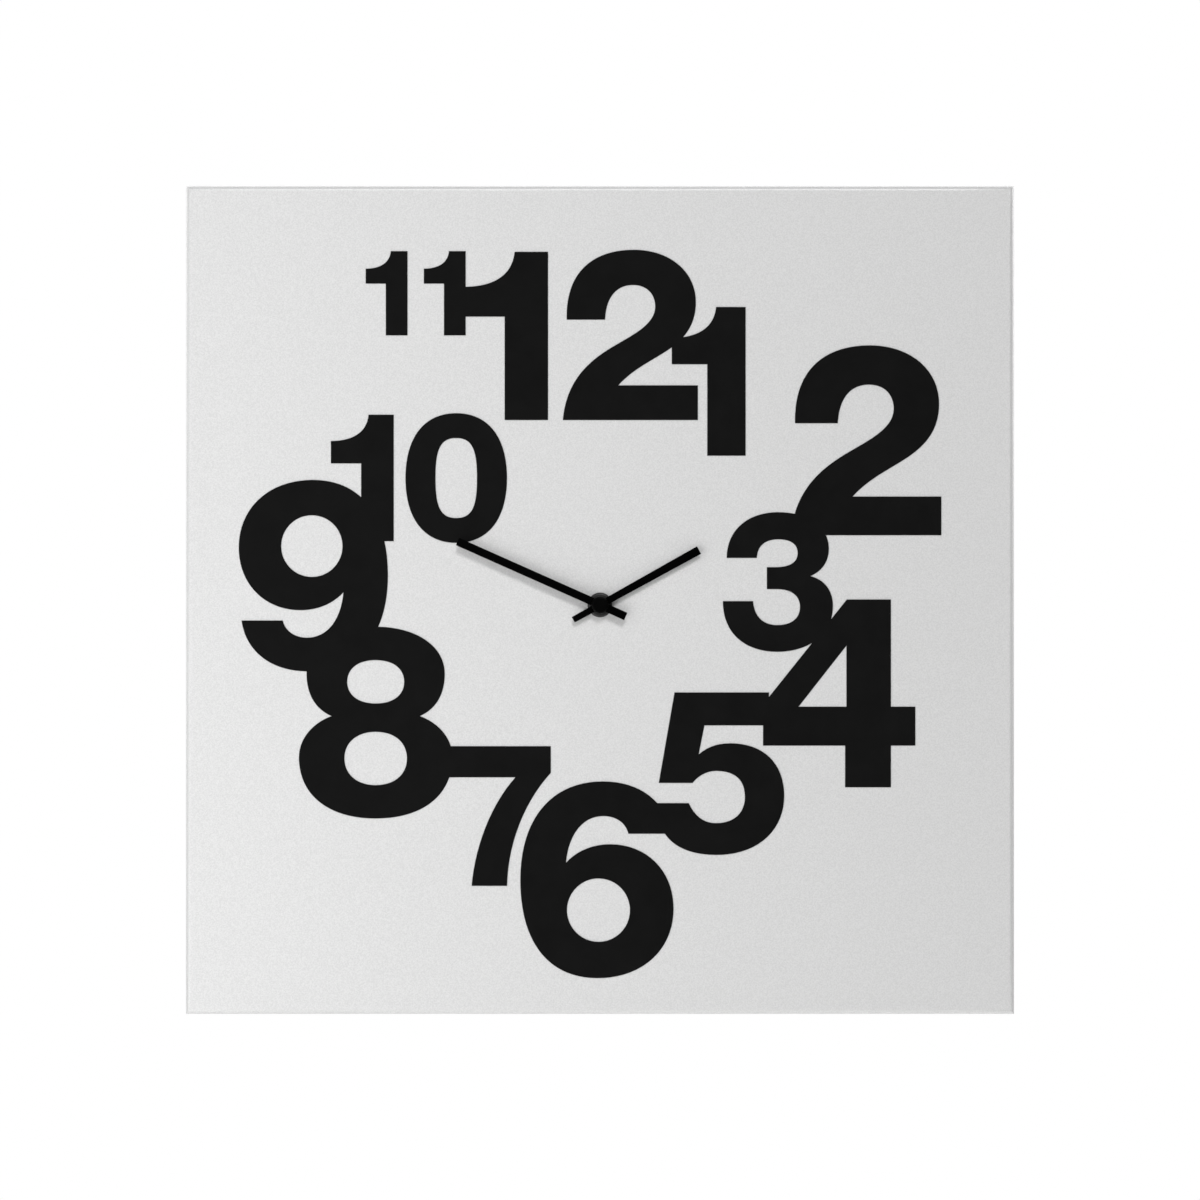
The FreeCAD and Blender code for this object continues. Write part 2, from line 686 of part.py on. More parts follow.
def fifth_pinion():
    return pinion_on_arbor(fifth_pinion_teeth, second_module, fifth_pinion_phase, second_layer, fifth_axis,
                           fine_arbor, movement_wall / 2, bridge_back)


def fifth_wheel():
    return wheel_on_arbor(fifth_teeth, fifth_module, fifth_layer, fifth_axis, fine_arbor)


def rotor_pinion():
    return pinion_on_arbor(rotor_pinion_teeth, fifth_module, rotor_pinion_phase, fifth_layer, rotor_axis,
                           fine_arbor, movement_wall / 2, bridge_back)


def rotor_magnet():
    solid = shaft(rotor_radius, rotor_layer, rotor_layer + rotor_height, rotor_axis)
    return solid.cut(shaft(fine_arbor, rotor_layer - 1, rotor_layer + rotor_height + 1, rotor_axis))


# Plates of the movement

def pillar_places():
    return [(x, z) for x in (pillar_left, pillar_right) for z in (pillar_low, pillar_high)]


def pivot_holes(depth_front, depth_back):
    axes = (third_axis, fifth_axis, rotor_axis)
    return [shaft(fine_arbor + fit, depth_front, depth_back, axis) for axis in axes]


def snap_spans(side, end):
    """Where a snap tab stands beside the housing, as its x and z spans."""
    inner = side * movement_half
    outer = side * (movement_half + snap_thickness)
    middle = end * snap_from_middle
    return (min(inner, outer), max(inner, outer)), (middle - snap_width / 2, middle + snap_width / 2)


def movement_front_plate():
    half = movement_half
    plate = rounded_block((-half, half), (movement_y, movement_y + movement_wall),
                          (axis_z - half, axis_z + half), movement_corner)
    pieces = [plate]
    pieces.append(shaft(stud_pin, 0, centre_layer - end_gap, motion_axis))
    pieces.append(shaft(setting_shaft + movement_wall, 0, motion_layer - end_gap, setting_axis))
    for side in (-1, 1):
        for end in (-1, 1):
            x_span, z_span = snap_spans(side, end)
            tab = works_block(x_span, (0, snap_height), z_span)
            window = works_block((x_span[0] - 1, x_span[1] + 1), (snap_height * 0.5, snap_height * 0.8),
                                 (z_span[0] + snap_width / 4, z_span[1] - snap_width / 4))
            pieces.append(tab.cut(window))
            foot_x = (half - movement_wall, half) if side > 0 else (-half, -half + movement_wall)
            pieces.append(works_block(foot_x, (0, movement_wall), z_span))
    body = joined(pieces)
    body = body.cut(shaft(bushing_radius, -1, movement_wall + 1))
    body = body.cut(shaft(bushing_flange_radius, movement_wall / 2, movement_wall + 1))
    body = body.cut(shaft(setting_shaft + fit, movement_wall, motion_layer, setting_axis))
    for hole in pivot_holes(movement_wall / 2 - end_gap, movement_wall + 1):
        body = body.cut(hole)
    for place in pillar_places():
        body = body.cut(shaft(peg_radius, movement_wall / 2, movement_wall + 1, place))
    return body


def train_bridge():
    """The back bearing plate, with four pillars whose pegs sit in the front plate."""
    x_span = (pillar_left - bridge_margin, pillar_right + bridge_margin)
    z_span = (pillar_low - bridge_margin, pillar_high + bridge_margin)
    pieces = [works_block(x_span, (bridge_layer, bridge_back), z_span)]
    for place in pillar_places():
        pieces.append(shaft(pillar_radius, movement_wall, bridge_layer, place))
        pieces.append(shaft(peg_radius, movement_wall / 2, movement_wall, place))
    plate = joined(pieces)
    for hole in pivot_holes(bridge_layer - 1, bridge_back + 1):
        plate = plate.cut(hole)
    return plate.cut(shaft(second_arbor + fit, bridge_layer - 1, bridge_back + 1))


def movement_housing():
    half = movement_half
    wall = movement_wall
    y_span = (movement_y + wall, movement_y + movement_thickness)
    shell = rounded_block((-half, half), y_span, (axis_z - half, axis_z + half), movement_corner)
    inside = half - wall
    works = works_block((-inside, inside), (0, movement_thickness - wall), (bay_wall_z + wall, inside))
    bay = works_block((-inside, inside), (0, movement_thickness + 1), (-inside, bay_wall_z))
    shell = shell.cut(works).cut(bay)
    shell = shell.cut(shaft(setting_shaft + fit, movement_thickness - 2 * wall, movement_thickness + 1,
                            setting_axis))
    for side in (-1, 1):
        for end in (-1, 1):
            shell = shell.fuse(snap_catch(side, end))
    return shell.removeSplitter()


def snap_catch(side, end):
    """A wedge on the housing's side that the window of a snap tab drops over."""
    x_span, z_span = snap_spans(side, end)
    front = movement_y + snap_height * 0.5 + catch_slack
    back = movement_y + snap_height * 0.8 - catch_slack
    low = axis_z + z_span[0] + snap_width / 4 + catch_slack
    high = axis_z + z_span[1] - snap_width / 4 - catch_slack
    root = side * movement_half
    crest = side * (movement_half + snap_thickness)
    corners = [Vector(root, front, low), Vector(crest, front, low), Vector(root, back, low)]
    face = Part.Face(Part.makePolygon(corners + corners[:1]))
    return face.extrude(Vector(0, 0, high - low))


# Motor and circuit

def coil_solid(radius, x_front, x_back):
    """A cylinder along X about the coil's own axis."""
    start = Vector(x_front, movement_y + coil_depth, axis_z + coil_z)
    return Part.makeCylinder(radius, x_back - x_front, start, Vector(1, 0, 0))


def coil_core():
    """A square iron bar through the coil, under the two arms of the stator."""
    return works_block((coil_left - core_reach, coil_right + core_reach),
                       (coil_depth - core_width / 2, coil_depth + core_width / 2),
                       (coil_z - core_width / 2, coil_z + core_width / 2))


def coil_bobbin():
    spool = coil_solid(bobbin_radius, coil_left, coil_right)
    ends = [coil_solid(bobbin_flange, coil_left, coil_left + bobbin_flange_width),
            coil_solid(bobbin_flange, coil_right - bobbin_flange_width, coil_right)]
    return joined([spool] + ends).cut(coil_core())


def coil_winding():
    wound = coil_solid(coil_radius, coil_left + bobbin_flange_width, coil_right - bobbin_flange_width)
    return wound.cut(coil_solid(bobbin_radius, coil_left, coil_right))


def stator():
    """A flat iron plate round the rotor with two arms that carry the coil's core."""
    depths = (stator_depth, stator_depth + stator_thickness)
    core_low = coil_z - core_width / 2
    core_high = coil_z + core_width / 2
    body = works_block((stator_left, stator_right), depths, (stator_low, stator_high))
    right_arm = works_block((coil_right + core_reach - 2 * arm_width, coil_right + core_reach), depths,
                            (stator_high, core_high))
    core_end = coil_left - core_reach
    left_neck = works_block((stator_left, stator_left + arm_width), depths, (stator_high, arm_high))
    left_run = works_block((core_end, stator_left), depths, (arm_low, arm_high))
    left_end = works_block((core_end, core_end + arm_width), depths, (arm_low, core_high))
    plate = joined([body, right_arm, left_neck, left_run, left_end])
    through = (depths[0] - 1, depths[1] + 1)
    plate = plate.cut(shaft(rotor_radius + stator_gap, through[0], through[1], rotor_axis))
    return plate.cut(shaft(pillar_radius, through[0], through[1], (pillar_right, pillar_high)))


def circuit_board():
    depths = (board_depth, board_depth + board_thickness)
    return works_block((board_left, board_right), depths, (board_low, board_high))


def driver_chip():
    depth = board_depth - chip_height
    x = board_left + 3 * chip_radius
    return shaft(chip_radius, depth, board_depth, (x, (board_low + board_high) / 2))


def crystal_can():
    start = Vector(board_left + can_radius, movement_y + board_depth - can_radius,
                   axis_z + board_low + can_radius)
    return Part.makeCylinder(can_radius, can_length, start, Vector(1, 0, 0))


# Battery

def cell_cylinder(radius, x_start, x_end):
    start = Vector(x_start, movement_y + cell_depth, axis_z + cell_z)
    return Part.makeCylinder(radius, x_end - x_start, start, Vector(1, 0, 0))


def battery_cell():
    solid = cell_cylinder(cell_radius, -cell_length / 2, cell_length / 2)
    rims = [edge for edge in solid.Edges if isinstance(edge.Curve, Part.Circle)]
    return solid.makeFillet(cell_radius / 12, rims)


def battery_terminal():
    return cell_cylinder(cell_nub_radius, cell_length / 2, cell_length / 2 + cell_nub_length)


def contact_plate(x_span):
    depths = (movement_wall, movement_thickness - movement_wall)
    return works_block(x_span, depths, (cell_z - contact_width / 2, cell_z + contact_width / 2))


def positive_contact():
    """A flat spring plate against the right end of the bay, with a foot folded over towards the board."""
    x_back = movement_half - movement_wall
    x_front = x_back - contact_thickness
    depths = (movement_wall, movement_wall + contact_thickness)
    foot_top = bay_wall_z - movement_wall
    riser = works_block((x_front, x_back), depths, (cell_z, foot_top))
    foot = works_block((x_back - 3 * movement_wall, x_back), depths, (foot_top - movement_wall, foot_top))
    return joined([contact_plate((x_front, x_back)), riser, foot])


def negative_contact():
    """A flat plate at the left end of the bay with a bowed tongue that presses on the battery."""
    x_back = -movement_half + movement_wall
    x_front = x_back + contact_thickness
    crest = -cell_length / 2 - fit
    rise = cell_radius / 2
    z_low = axis_z + cell_z - contact_width / 4
    bow = [Vector(x_front, movement_y + cell_depth - rise, z_low),
           Vector(crest, movement_y + cell_depth, z_low),
           Vector(x_front, movement_y + cell_depth + rise, z_low)]
    inner = [Vector(point.x - contact_thickness, point.y, point.z) for point in bow]
    edges = [Part.Arc(bow[0], bow[1], bow[2]).toShape(),
             Part.LineSegment(bow[2], inner[2]).toShape(),
             Part.Arc(inner[2], inner[1], inner[0]).toShape(),
             Part.LineSegment(inner[0], bow[0]).toShape()]
    tongue = Part.Face(Part.Wire(edges)).extrude(Vector(0, 0, contact_width / 2))
    return joined([contact_plate((x_back, x_front)), tongue])


# Setting knob at the back

def setting_knob():
    seat = movement_thickness + end_gap
    knob = shaft(knob_radius, seat, seat + knob_height, setting_axis)
    for k in range(knob_flutes):
        place = polar(knob_radius, 360 * k / knob_flutes, setting_axis)
        knob = knob.cut(shaft(flute_radius, seat - 1, seat + knob_height + 1, place))
    stem = shaft(setting_shaft, motion_layer + gear_width, seat, setting_axis)
    return joined([knob, stem])


def setting_pinion():
    pinion = gear(setting_teeth, setting_module, pinion_tooth_share, setting_phase, motion_layer,
                  setting_axis)
    pivot = shaft(setting_shaft, movement_wall + end_gap, motion_layer, setting_axis)
    return joined([pinion, pivot])


def build():
    os.makedirs("parts", exist_ok=True)
    nodes = {
        "case_tray": case_tray,
        "hanger_bracket": hanger_bracket,
        "hanger_studs": hanger_studs,
        "hanger_nuts": hanger_nuts,
        "rubber_washer": rubber_washer,
        "threaded_bushing": threaded_bushing,
        "fixing_nut": fixing_nut,
        "hour_hand": hour_hand,
        "hour_hand_collar": hour_hand_collar,
        "minute_hand": minute_hand,
        "minute_hand_collar": minute_hand_collar,
        "hand_cap_nut": hand_cap_nut,
        "cannon_pinion": cannon_pinion,
        "centre_wheel": centre_wheel,
        "hour_wheel": hour_wheel,
        "motion_wheel": motion_wheel,
        "third_pinion": third_pinion,
        "third_wheel": third_wheel,
        "second_pinion": second_pinion,
        "second_wheel": second_wheel,
        "fifth_pinion": fifth_pinion,
        "fifth_wheel": fifth_wheel,
        "rotor_pinion": rotor_pinion,
        "rotor_magnet": rotor_magnet,
        "movement_front_plate": movement_front_plate,
        "train_bridge": train_bridge,
        "movement_housing": movement_housing,
        "stator": stator,
        "coil_core": coil_core,
        "coil_bobbin": coil_bobbin,
        "coil_winding": coil_winding,
        "circuit_board": circuit_board,
        "driver_chip": driver_chip,
        "crystal_can": crystal_can,
        "battery_cell": battery_cell,
        "battery_terminal": battery_terminal,
        "positive_contact": positive_contact,
        "negative_contact": negative_contact,
        "setting_knob": setting_knob,
        "setting_pinion": setting_pinion,
    }
    shapes = {name: make() for name, make in nodes.items()}
    for name in numeral_pieces:
        shapes[name] = numeral_piece(name)
    for row, end in (("lower", -1), ("upper", 1)):
        for column, side in (("left", -1), ("right", 1)):
            shapes["wall_bumper_" + row + "_" + column] = wall_bumper(side, end)
    for name, shape in shapes.items():
        if not shape.isValid():
            raise ValueError(name + " is not a valid solid")
        shape.exportStep("parts/" + name + ".step")
        print(name, len(shape.Solids), round(shape.Volume, 3))


build()
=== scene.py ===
import json
import math

import bmesh
import bpy
import numpy as np
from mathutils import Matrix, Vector


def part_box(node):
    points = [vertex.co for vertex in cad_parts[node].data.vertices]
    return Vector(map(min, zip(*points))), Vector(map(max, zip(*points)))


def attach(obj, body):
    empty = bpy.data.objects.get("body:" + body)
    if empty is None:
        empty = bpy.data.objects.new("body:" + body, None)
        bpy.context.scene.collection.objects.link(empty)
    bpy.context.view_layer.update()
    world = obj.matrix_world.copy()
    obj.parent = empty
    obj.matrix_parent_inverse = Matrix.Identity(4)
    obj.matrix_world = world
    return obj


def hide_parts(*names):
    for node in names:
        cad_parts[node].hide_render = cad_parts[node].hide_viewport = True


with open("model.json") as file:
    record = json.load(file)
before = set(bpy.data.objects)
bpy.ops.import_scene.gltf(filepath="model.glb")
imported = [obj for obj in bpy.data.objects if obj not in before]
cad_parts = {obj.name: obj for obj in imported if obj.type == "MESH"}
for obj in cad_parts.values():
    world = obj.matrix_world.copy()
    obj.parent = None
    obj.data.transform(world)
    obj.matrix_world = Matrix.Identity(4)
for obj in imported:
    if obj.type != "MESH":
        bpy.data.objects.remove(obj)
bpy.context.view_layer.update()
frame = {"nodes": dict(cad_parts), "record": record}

# Wall clock. Metres, the face looks along -Y and the wall is the plane y = 0.

mm = 0.001
nodes = frame["nodes"]


def middle(node):
    low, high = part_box(node)
    return (low + high) / 2


trayLow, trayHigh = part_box("case_tray")
faceY = trayLow.y
panelCentre = Vector((0.0, faceY, (trayLow.z + trayHigh.z) / 2))
handAxis = Vector((0.0, 0.0, middle("hand_cap_nut").z))


# Shader nodes

def addNode(tree, kind, inputs=None, **settings):
    node = tree.nodes.new(kind)
    for name, value in settings.items():
        setattr(node, name, value)
    for name, value in (inputs or {}).items():
        node.inputs[name].default_value = value
    return node


def newGroup(name, inputs, outputs):
    # each input has its kind and value, each output its kind
    group = bpy.data.node_groups.new(name, "ShaderNodeTree")
    for socketName, (kind, value) in inputs.items():
        socket = group.interface.new_socket(name=socketName, in_out="INPUT", socket_type=kind)
        socket.default_value = value
    for socketName, kind in outputs.items():
        group.interface.new_socket(name=socketName, in_out="OUTPUT", socket_type=kind)
    return group, group.nodes.new("NodeGroupInput"), group.nodes.new("NodeGroupOutput")


def makeFleckGroup():
    # powder coat: fine metal flecks and the orange peel of baked paint
    kinds = {"Position": ("NodeSocketVector", (0, 0, 0)), "Fleck Scale": ("NodeSocketFloat", 1500.0),
             "Peel Scale": ("NodeSocketFloat", 350.0)}
    group, source, out = newGroup("flecks", kinds, {"Fleck": "NodeSocketFloat", "Height": "NodeSocketFloat"})
    link = group.links.new
    fleck = addNode(group, "ShaderNodeTexNoise", {"Detail": 1.0, "Roughness": 0.6})
    peel = addNode(group, "ShaderNodeTexNoise", {"Detail": 2.0, "Roughness": 0.5})
    for node, scale in ((fleck, "Fleck Scale"), (peel, "Peel Scale")):
        link(source.outputs["Position"], node.inputs["Vector"])
        link(source.outputs[scale], node.inputs["Scale"])
    raised = addNode(group, "ShaderNodeMath", {1: 0.35}, operation="MULTIPLY")
    both = addNode(group, "ShaderNodeMath", operation="ADD")
    link(fleck.outputs["Fac"], raised.inputs[0])
    link(raised.outputs[0], both.inputs[0])
    link(peel.outputs["Fac"], both.inputs[1])
    link(fleck.outputs["Fac"], out.inputs["Fleck"])
    link(both.outputs[0], out.inputs["Height"])
    return group


def makeGrainGroup():
    # moulded or cast skin: a fine height grain and a slower patchiness for the gloss
    kinds = {"Position": ("NodeSocketVector", (0, 0, 0)), "Grain Scale": ("NodeSocketFloat", 2500.0),
             "Patch Scale": ("NodeSocketFloat", 60.0)}
    group, source, out = newGroup("grain", kinds, {"Height": "NodeSocketFloat", "Patch": "NodeSocketFloat"})
    link = group.links.new
    grain = addNode(group, "ShaderNodeTexNoise", {"Detail": 2.0, "Roughness": 0.55})
    patch = addNode(group, "ShaderNodeTexNoise", {"Detail": 3.0, "Roughness": 0.6})
    for node, scale in ((grain, "Grain Scale"), (patch, "Patch Scale")):
        link(source.outputs["Position"], node.inputs["Vector"])
        link(source.outputs[scale], node.inputs["Scale"])
    link(grain.outputs["Fac"], out.inputs["Height"])
    link(patch.outputs["Fac"], out.inputs["Patch"])
    return group


def makeStreakGroup():
    # drawn or turned metal: noise stretched along one direction, for its lines and its uneven gloss
    kinds = {"Position": ("NodeSocketVector", (0, 0, 0)), "Stretch": ("NodeSocketVector", (1, 1, 1)),
             "Line Scale": ("NodeSocketFloat", 900.0)}
    group, source, out = newGroup("streaks", kinds, {"Line": "NodeSocketFloat", "Patch": "NodeSocketFloat"})
    link = group.links.new
    pulled = addNode(group, "ShaderNodeVectorMath", operation="MULTIPLY")
    line = addNode(group, "ShaderNodeTexNoise", {"Detail": 3.0, "Roughness": 0.6})
    patch = addNode(group, "ShaderNodeTexNoise", {"Scale": 90.0, "Detail": 2.0})
    link(source.outputs["Position"], pulled.inputs[0])
    link(source.outputs["Stretch"], pulled.inputs[1])
    link(pulled.outputs[0], line.inputs["Vector"])
    link(source.outputs["Line Scale"], line.inputs["Scale"])
    link(source.outputs["Position"], patch.inputs["Vector"])
    link(line.outputs["Fac"], out.inputs["Line"])
    link(patch.outputs["Fac"], out.inputs["Patch"])
    return group


fleckGroup = makeFleckGroup()
grainGroup = makeGrainGroup()
streakGroup = makeStreakGroup()


def newMaterial(name, shaderInputs):
    # a material with one Principled shader and the object's own coordinates
    material = bpy.data.materials.new(name)
    material.use_nodes = True
    tree = material.node_tree
    shader = tree.nodes["Principled BSDF"]
    for socket, value in shaderInputs.items():
        shader.inputs[socket].default_value = value
    place = addNode(tree, "ShaderNodeTexCoord")
    return material, tree, shader, place.outputs["Object"]


def useGroup(tree, group, position, values):
    node = addNode(tree, "ShaderNodeGroup", node_tree=group)
    for name, value in values.items():
        node.inputs[name].default_value = value
    tree.links.new(position, node.inputs["Position"])
    return node


def spread(tree, source, low, high, fromLow=0.3, fromHigh=0.7):
    # maps a noise value onto the range from low to high
    node = addNode(tree, "ShaderNodeMapRange", {"From Min": fromLow, "From Max": fromHigh,
                                                "To Min": low, "To Max": high})
    tree.links.new(source, node.inputs["Value"])
    return node.outputs["Result"]


def blendColours(tree, mask, dark, light):
    node = addNode(tree, "ShaderNodeMix", data_type="RGBA")
    node.inputs["A"].default_value = (*dark, 1.0)
    node.inputs["B"].default_value = (*light, 1.0)
    tree.links.new(mask, node.inputs["Factor"])
    return node.outputs["Result"]


def addBump(tree, shader, height, distance, strength=1.0):
    bump = addNode(tree, "ShaderNodeBump", {"Distance": distance, "Strength": strength})
    tree.links.new(height, bump.inputs["Height"])
    tree.links.new(bump.outputs["Normal"], shader.inputs["Normal"])


# Materials

powderCoat = {"dark": (0.602, 0.602, 0.603), "light": (0.702, 0.702, 0.703), "metallic": 0.20,
              "roughness": 0.48, "fleckSize": 0.7 * mm, "peelSize": 2.4 * mm, "peelDepth": 0.012 * mm}


def makePowderCoat():
    spec = powderCoat
    material, tree, shader, place = newMaterial("silverPowderCoat", {"Metallic": spec["metallic"]})
    coat = useGroup(tree, fleckGroup, place, {"Fleck Scale": 1 / spec["fleckSize"],
                                              "Peel Scale": 1 / spec["peelSize"]})
    mask = spread(tree, coat.outputs["Fleck"], 0.0, 1.0)
    tree.links.new(blendColours(tree, mask, spec["dark"], spec["light"]), shader.inputs["Base Color"])
    rough = spread(tree, coat.outputs["Fleck"], spec["roughness"] + 0.04, spec["roughness"] - 0.04)
    tree.links.new(rough, shader.inputs["Roughness"])
    addBump(tree, shader, coat.outputs["Height"], spec["peelDepth"])
    return material


plasticFinishes = {
    "blackFilm": {"dark": (0.0050, 0.0050, 0.0050), "light": (0.0064, 0.0064, 0.0064), "roughness": 0.5,
                  "specular": 0.03, "grainSize": 0.5 * mm, "depth": 0.002 * mm},
    "blackLacquer": {"dark": (0.0003, 0.0003, 0.0003), "light": (0.0006, 0.0006, 0.0006), "roughness": 0.38,
                     "specular": 0.015, "grainSize": 0.6 * mm, "depth": 0.002 * mm},
    "blackCap": {"dark": (0.0006, 0.0006, 0.0006), "light": (0.0010, 0.0010, 0.0010), "roughness": 0.28,
                 "specular": 0.04, "grainSize": 0.4 * mm, "depth": 0.001 * mm},
    "blackNut": {"dark": (0.0035, 0.0035, 0.0035), "light": (0.0060, 0.0060, 0.0060), "roughness": 0.36,
                 "specular": 0.5, "grainSize": 0.4 * mm, "depth": 0.002 * mm},
    "blackPlastic": {"dark": (0.018, 0.018, 0.019), "light": (0.026, 0.026, 0.027), "roughness": 0.55,
                     "specular": 0.45, "grainSize": 0.35 * mm, "depth": 0.010 * mm},
    "whitePlastic": {"dark": (0.74, 0.73, 0.69), "light": (0.80, 0.79, 0.75), "roughness": 0.42,
                     "specular": 0.5, "grainSize": 0.4 * mm, "depth": 0.003 * mm},
    "blackRubber": {"dark": (0.016, 0.016, 0.016), "light": (0.028, 0.028, 0.028), "roughness": 0.78,
                    "specular": 0.3, "grainSize": 0.25 * mm, "depth": 0.012 * mm},
    "greenBoard": {"dark": (0.012, 0.10, 0.045), "light": (0.020, 0.15, 0.065), "roughness": 0.32,
                   "specular": 0.5, "grainSize": 0.5 * mm, "depth": 0.002 * mm},
}


def makePlastic(name, spec):
    material, tree, shader, place = newMaterial(name, {"Specular IOR Level": spec["specular"]})
    skin = useGroup(tree, grainGroup, place, {"Grain Scale": 1 / spec["grainSize"]})
    mask = spread(tree, skin.outputs["Patch"], 0.0, 1.0)
    tree.links.new(blendColours(tree, mask, spec["dark"], spec["light"]), shader.inputs["Base Color"])
    rough = spread(tree, skin.outputs["Patch"], spec["roughness"] - 0.05, spec["roughness"] + 0.05)
    tree.links.new(rough, shader.inputs["Roughness"])
    addBump(tree, shader, skin.outputs["Height"], spec["depth"])
    return material


metalFinishes = {
    "zincSteel": {"dark": (0.50, 0.52, 0.54), "light": (0.68, 0.70, 0.72), "roughness": 0.34,
                  "stretch": (0.12, 1.0, 1.0), "lineSize": 0.8 * mm, "depth": 0.003 * mm},
    "brass": {"dark": (0.62, 0.43, 0.17), "light": (0.80, 0.60, 0.28), "roughness": 0.26,
              "stretch": (1.0, 4.0, 1.0), "lineSize": 0.5 * mm, "depth": 0.002 * mm},
    "plainSteel": {"dark": (0.42, 0.43, 0.44), "light": (0.56, 0.57, 0.58), "roughness": 0.3,
                   "stretch": (0.2, 1.0, 1.0), "lineSize": 0.6 * mm, "depth": 0.002 * mm},
    "darkMagnet": {"dark": (0.06, 0.06, 0.065), "light": (0.11, 0.11, 0.115), "roughness": 0.45,
                   "stretch": (1.0, 1.0, 1.0), "lineSize": 0.3 * mm, "depth": 0.004 * mm},
    "copperWire": {"dark": (0.42, 0.16, 0.06), "light": (0.62, 0.26, 0.11), "roughness": 0.3,
                   "stretch": (6.0, 1.0, 1.0), "lineSize": 0.6 * mm, "depth": 0.02 * mm},
}


def makeMetal(name, spec):
    material, tree, shader, place = newMaterial(name, {"Metallic": 1.0})
    skin = useGroup(tree, streakGroup, place, {"Stretch": spec["stretch"],
                                               "Line Scale": 1 / spec["lineSize"]})
    mask = spread(tree, skin.outputs["Patch"], 0.0, 1.0)
    tree.links.new(blendColours(tree, mask, spec["dark"], spec["light"]), shader.inputs["Base Color"])
    rough = spread(tree, skin.outputs["Line"], spec["roughness"] - 0.08, spec["roughness"] + 0.08)
    tree.links.new(rough, shader.inputs["Roughness"])
    addBump(tree, shader, skin.outputs["Line"], spec["depth"])
    return material


materials = {"silverPowderCoat": makePowderCoat()}
for finishName, finish in plasticFinishes.items():
    materials[finishName] = makePlastic(finishName, finish)
for finishName, finish in metalFinishes.items():
    materials[finishName] = makeMetal(finishName, finish)

batteryFinish = {"sleeve": (0.012, 0.075, 0.050), "band": (0.55, 0.56, 0.56), "bandFrom": 9.0 * mm,
                 "bandEdge": 0.1 * mm, "roughness": 0.24, "depth": 0.002 * mm}


def makeBatterySleeve():
    # printed film: a plain sleeve colour and a lighter band towards the positive end
    spec = batteryFinish
    material, tree, shader, place = newMaterial("batterySleeve", {"Metallic": 0.25})
    skin = useGroup(tree, grainGroup, place, {})
    split = addNode(tree, "ShaderNodeSeparateXYZ")
    tree.links.new(place, split.inputs[0])
    mask = spread(tree, split.outputs["X"], 0.0, 1.0, spec["bandFrom"], spec["bandFrom"] + spec["bandEdge"])
    colour = blendColours(tree, mask, spec["sleeve"], spec["band"])
    tree.links.new(colour, shader.inputs["Base Color"])
    rough = spread(tree, skin.outputs["Patch"], spec["roughness"] - 0.05, spec["roughness"] + 0.05)
    tree.links.new(rough, shader.inputs["Roughness"])
    addBump(tree, shader, skin.outputs["Height"], spec["depth"])
    return material


materials["batterySleeve"] = makeBatterySleeve()

slotFinishes = {
    "silver_powder_coat": "silverPowderCoat", "zinc_steel": "zincSteel", "black_rubber": "blackRubber",
    "brass": "brass", "black_nut": "blackNut", "black_hand": "blackLacquer", "black_cap": "blackCap",
    "white_gear_plastic": "whitePlastic", "gear_steel": "plainSteel", "magnet": "darkMagnet",
    "black_plastic": "blackPlastic", "copper_wire": "copperWire", "green_board": "greenBoard",
    "battery_sleeve": "batterySleeve", "white_knob": "whitePlastic", "black_numeral": "blackFilm"}

for part in frame["record"]["subparts"]:
    mesh = nodes[part["node"]].data
    mesh.materials.clear()
    mesh.materials.append(materials[slotFinishes[part["material_slot"]]])
print("materials:", len(materials))


# Meshes. A grid of points is an array (rings, steps, 3) whose rings each close on themselves.

weldDistance = 0.0005 * mm


def ringFaces(rings, steps, looped):
    # four corners for each ring and step; a looped grid also joins its last ring to its first
    ring, step = np.meshgrid(np.arange(rings if looped else rings - 1), np.arange(steps), indexing="ij")
    nextRing = (ring + 1) % rings
    nextStep = (step + 1) % steps
    corners = [ring * steps + step, ring * steps + nextStep,
               nextRing * steps + nextStep, nextRing * steps + step]
    return np.stack(corners, axis=-1).reshape(-1, 4)


def meshPiece(name, points, faces, finish, body, replaced=(), sharpAngle=32.0):
    # merging doubles closes the poles and seams, then the faces are turned outwards
    mesh = bpy.data.meshes.new(name)
    mesh.vertices.add(len(points))
    mesh.vertices.foreach_set("co", points.astype(np.float32).ravel())
    mesh.loops.add(faces.size)
    mesh.loops.foreach_set("vertex_index", faces.astype(np.int32).ravel())
    mesh.polygons.add(len(faces))
    mesh.polygons.foreach_set("loop_start", np.arange(0, faces.size, 4, dtype=np.int32))
    mesh.update(calc_edges=True)
    work = bmesh.new()
    work.from_mesh(mesh)
    bmesh.ops.remove_doubles(work, verts=work.verts, dist=weldDistance)
    bmesh.ops.recalc_face_normals(work, faces=work.faces)
    work.to_mesh(mesh)
    work.free()
    mesh.shade_smooth()
    mesh.set_sharp_from_angle(angle=math.radians(sharpAngle))
    mesh.materials.append(materials[finish])
    piece = bpy.data.objects.new(name, mesh)
    bpy.context.scene.collection.objects.link(piece)
    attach(piece, body)
    if replaced:
        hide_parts(*replaced)
    return piece


def gridPiece(name, grids, finish, body, replaced=(), sharpAngle=32.0):
    # grids is a list of (grid, looped), each a closed shell of the same piece
    points = np.concatenate([grid.reshape(-1, 3) for grid, looped in grids])
    starts = np.cumsum([0] + [grid.shape[0] * grid.shape[1] for grid, looped in grids])
    faces = [ringFaces(grid.shape[0], grid.shape[1], looped) + start
             for (grid, looped), start in zip(grids, starts)]
    return meshPiece(name, points, np.concatenate(faces), finish, body, replaced, sharpAngle)


def arcPoints(radius, depth, size, start, end, count):
    # points (radius, depth) round a small circle of the given size, between two angles in degrees
    angle = np.radians(np.linspace(start, end, count))
    return list(zip(radius + size * np.cos(angle), depth + size * np.sin(angle)))


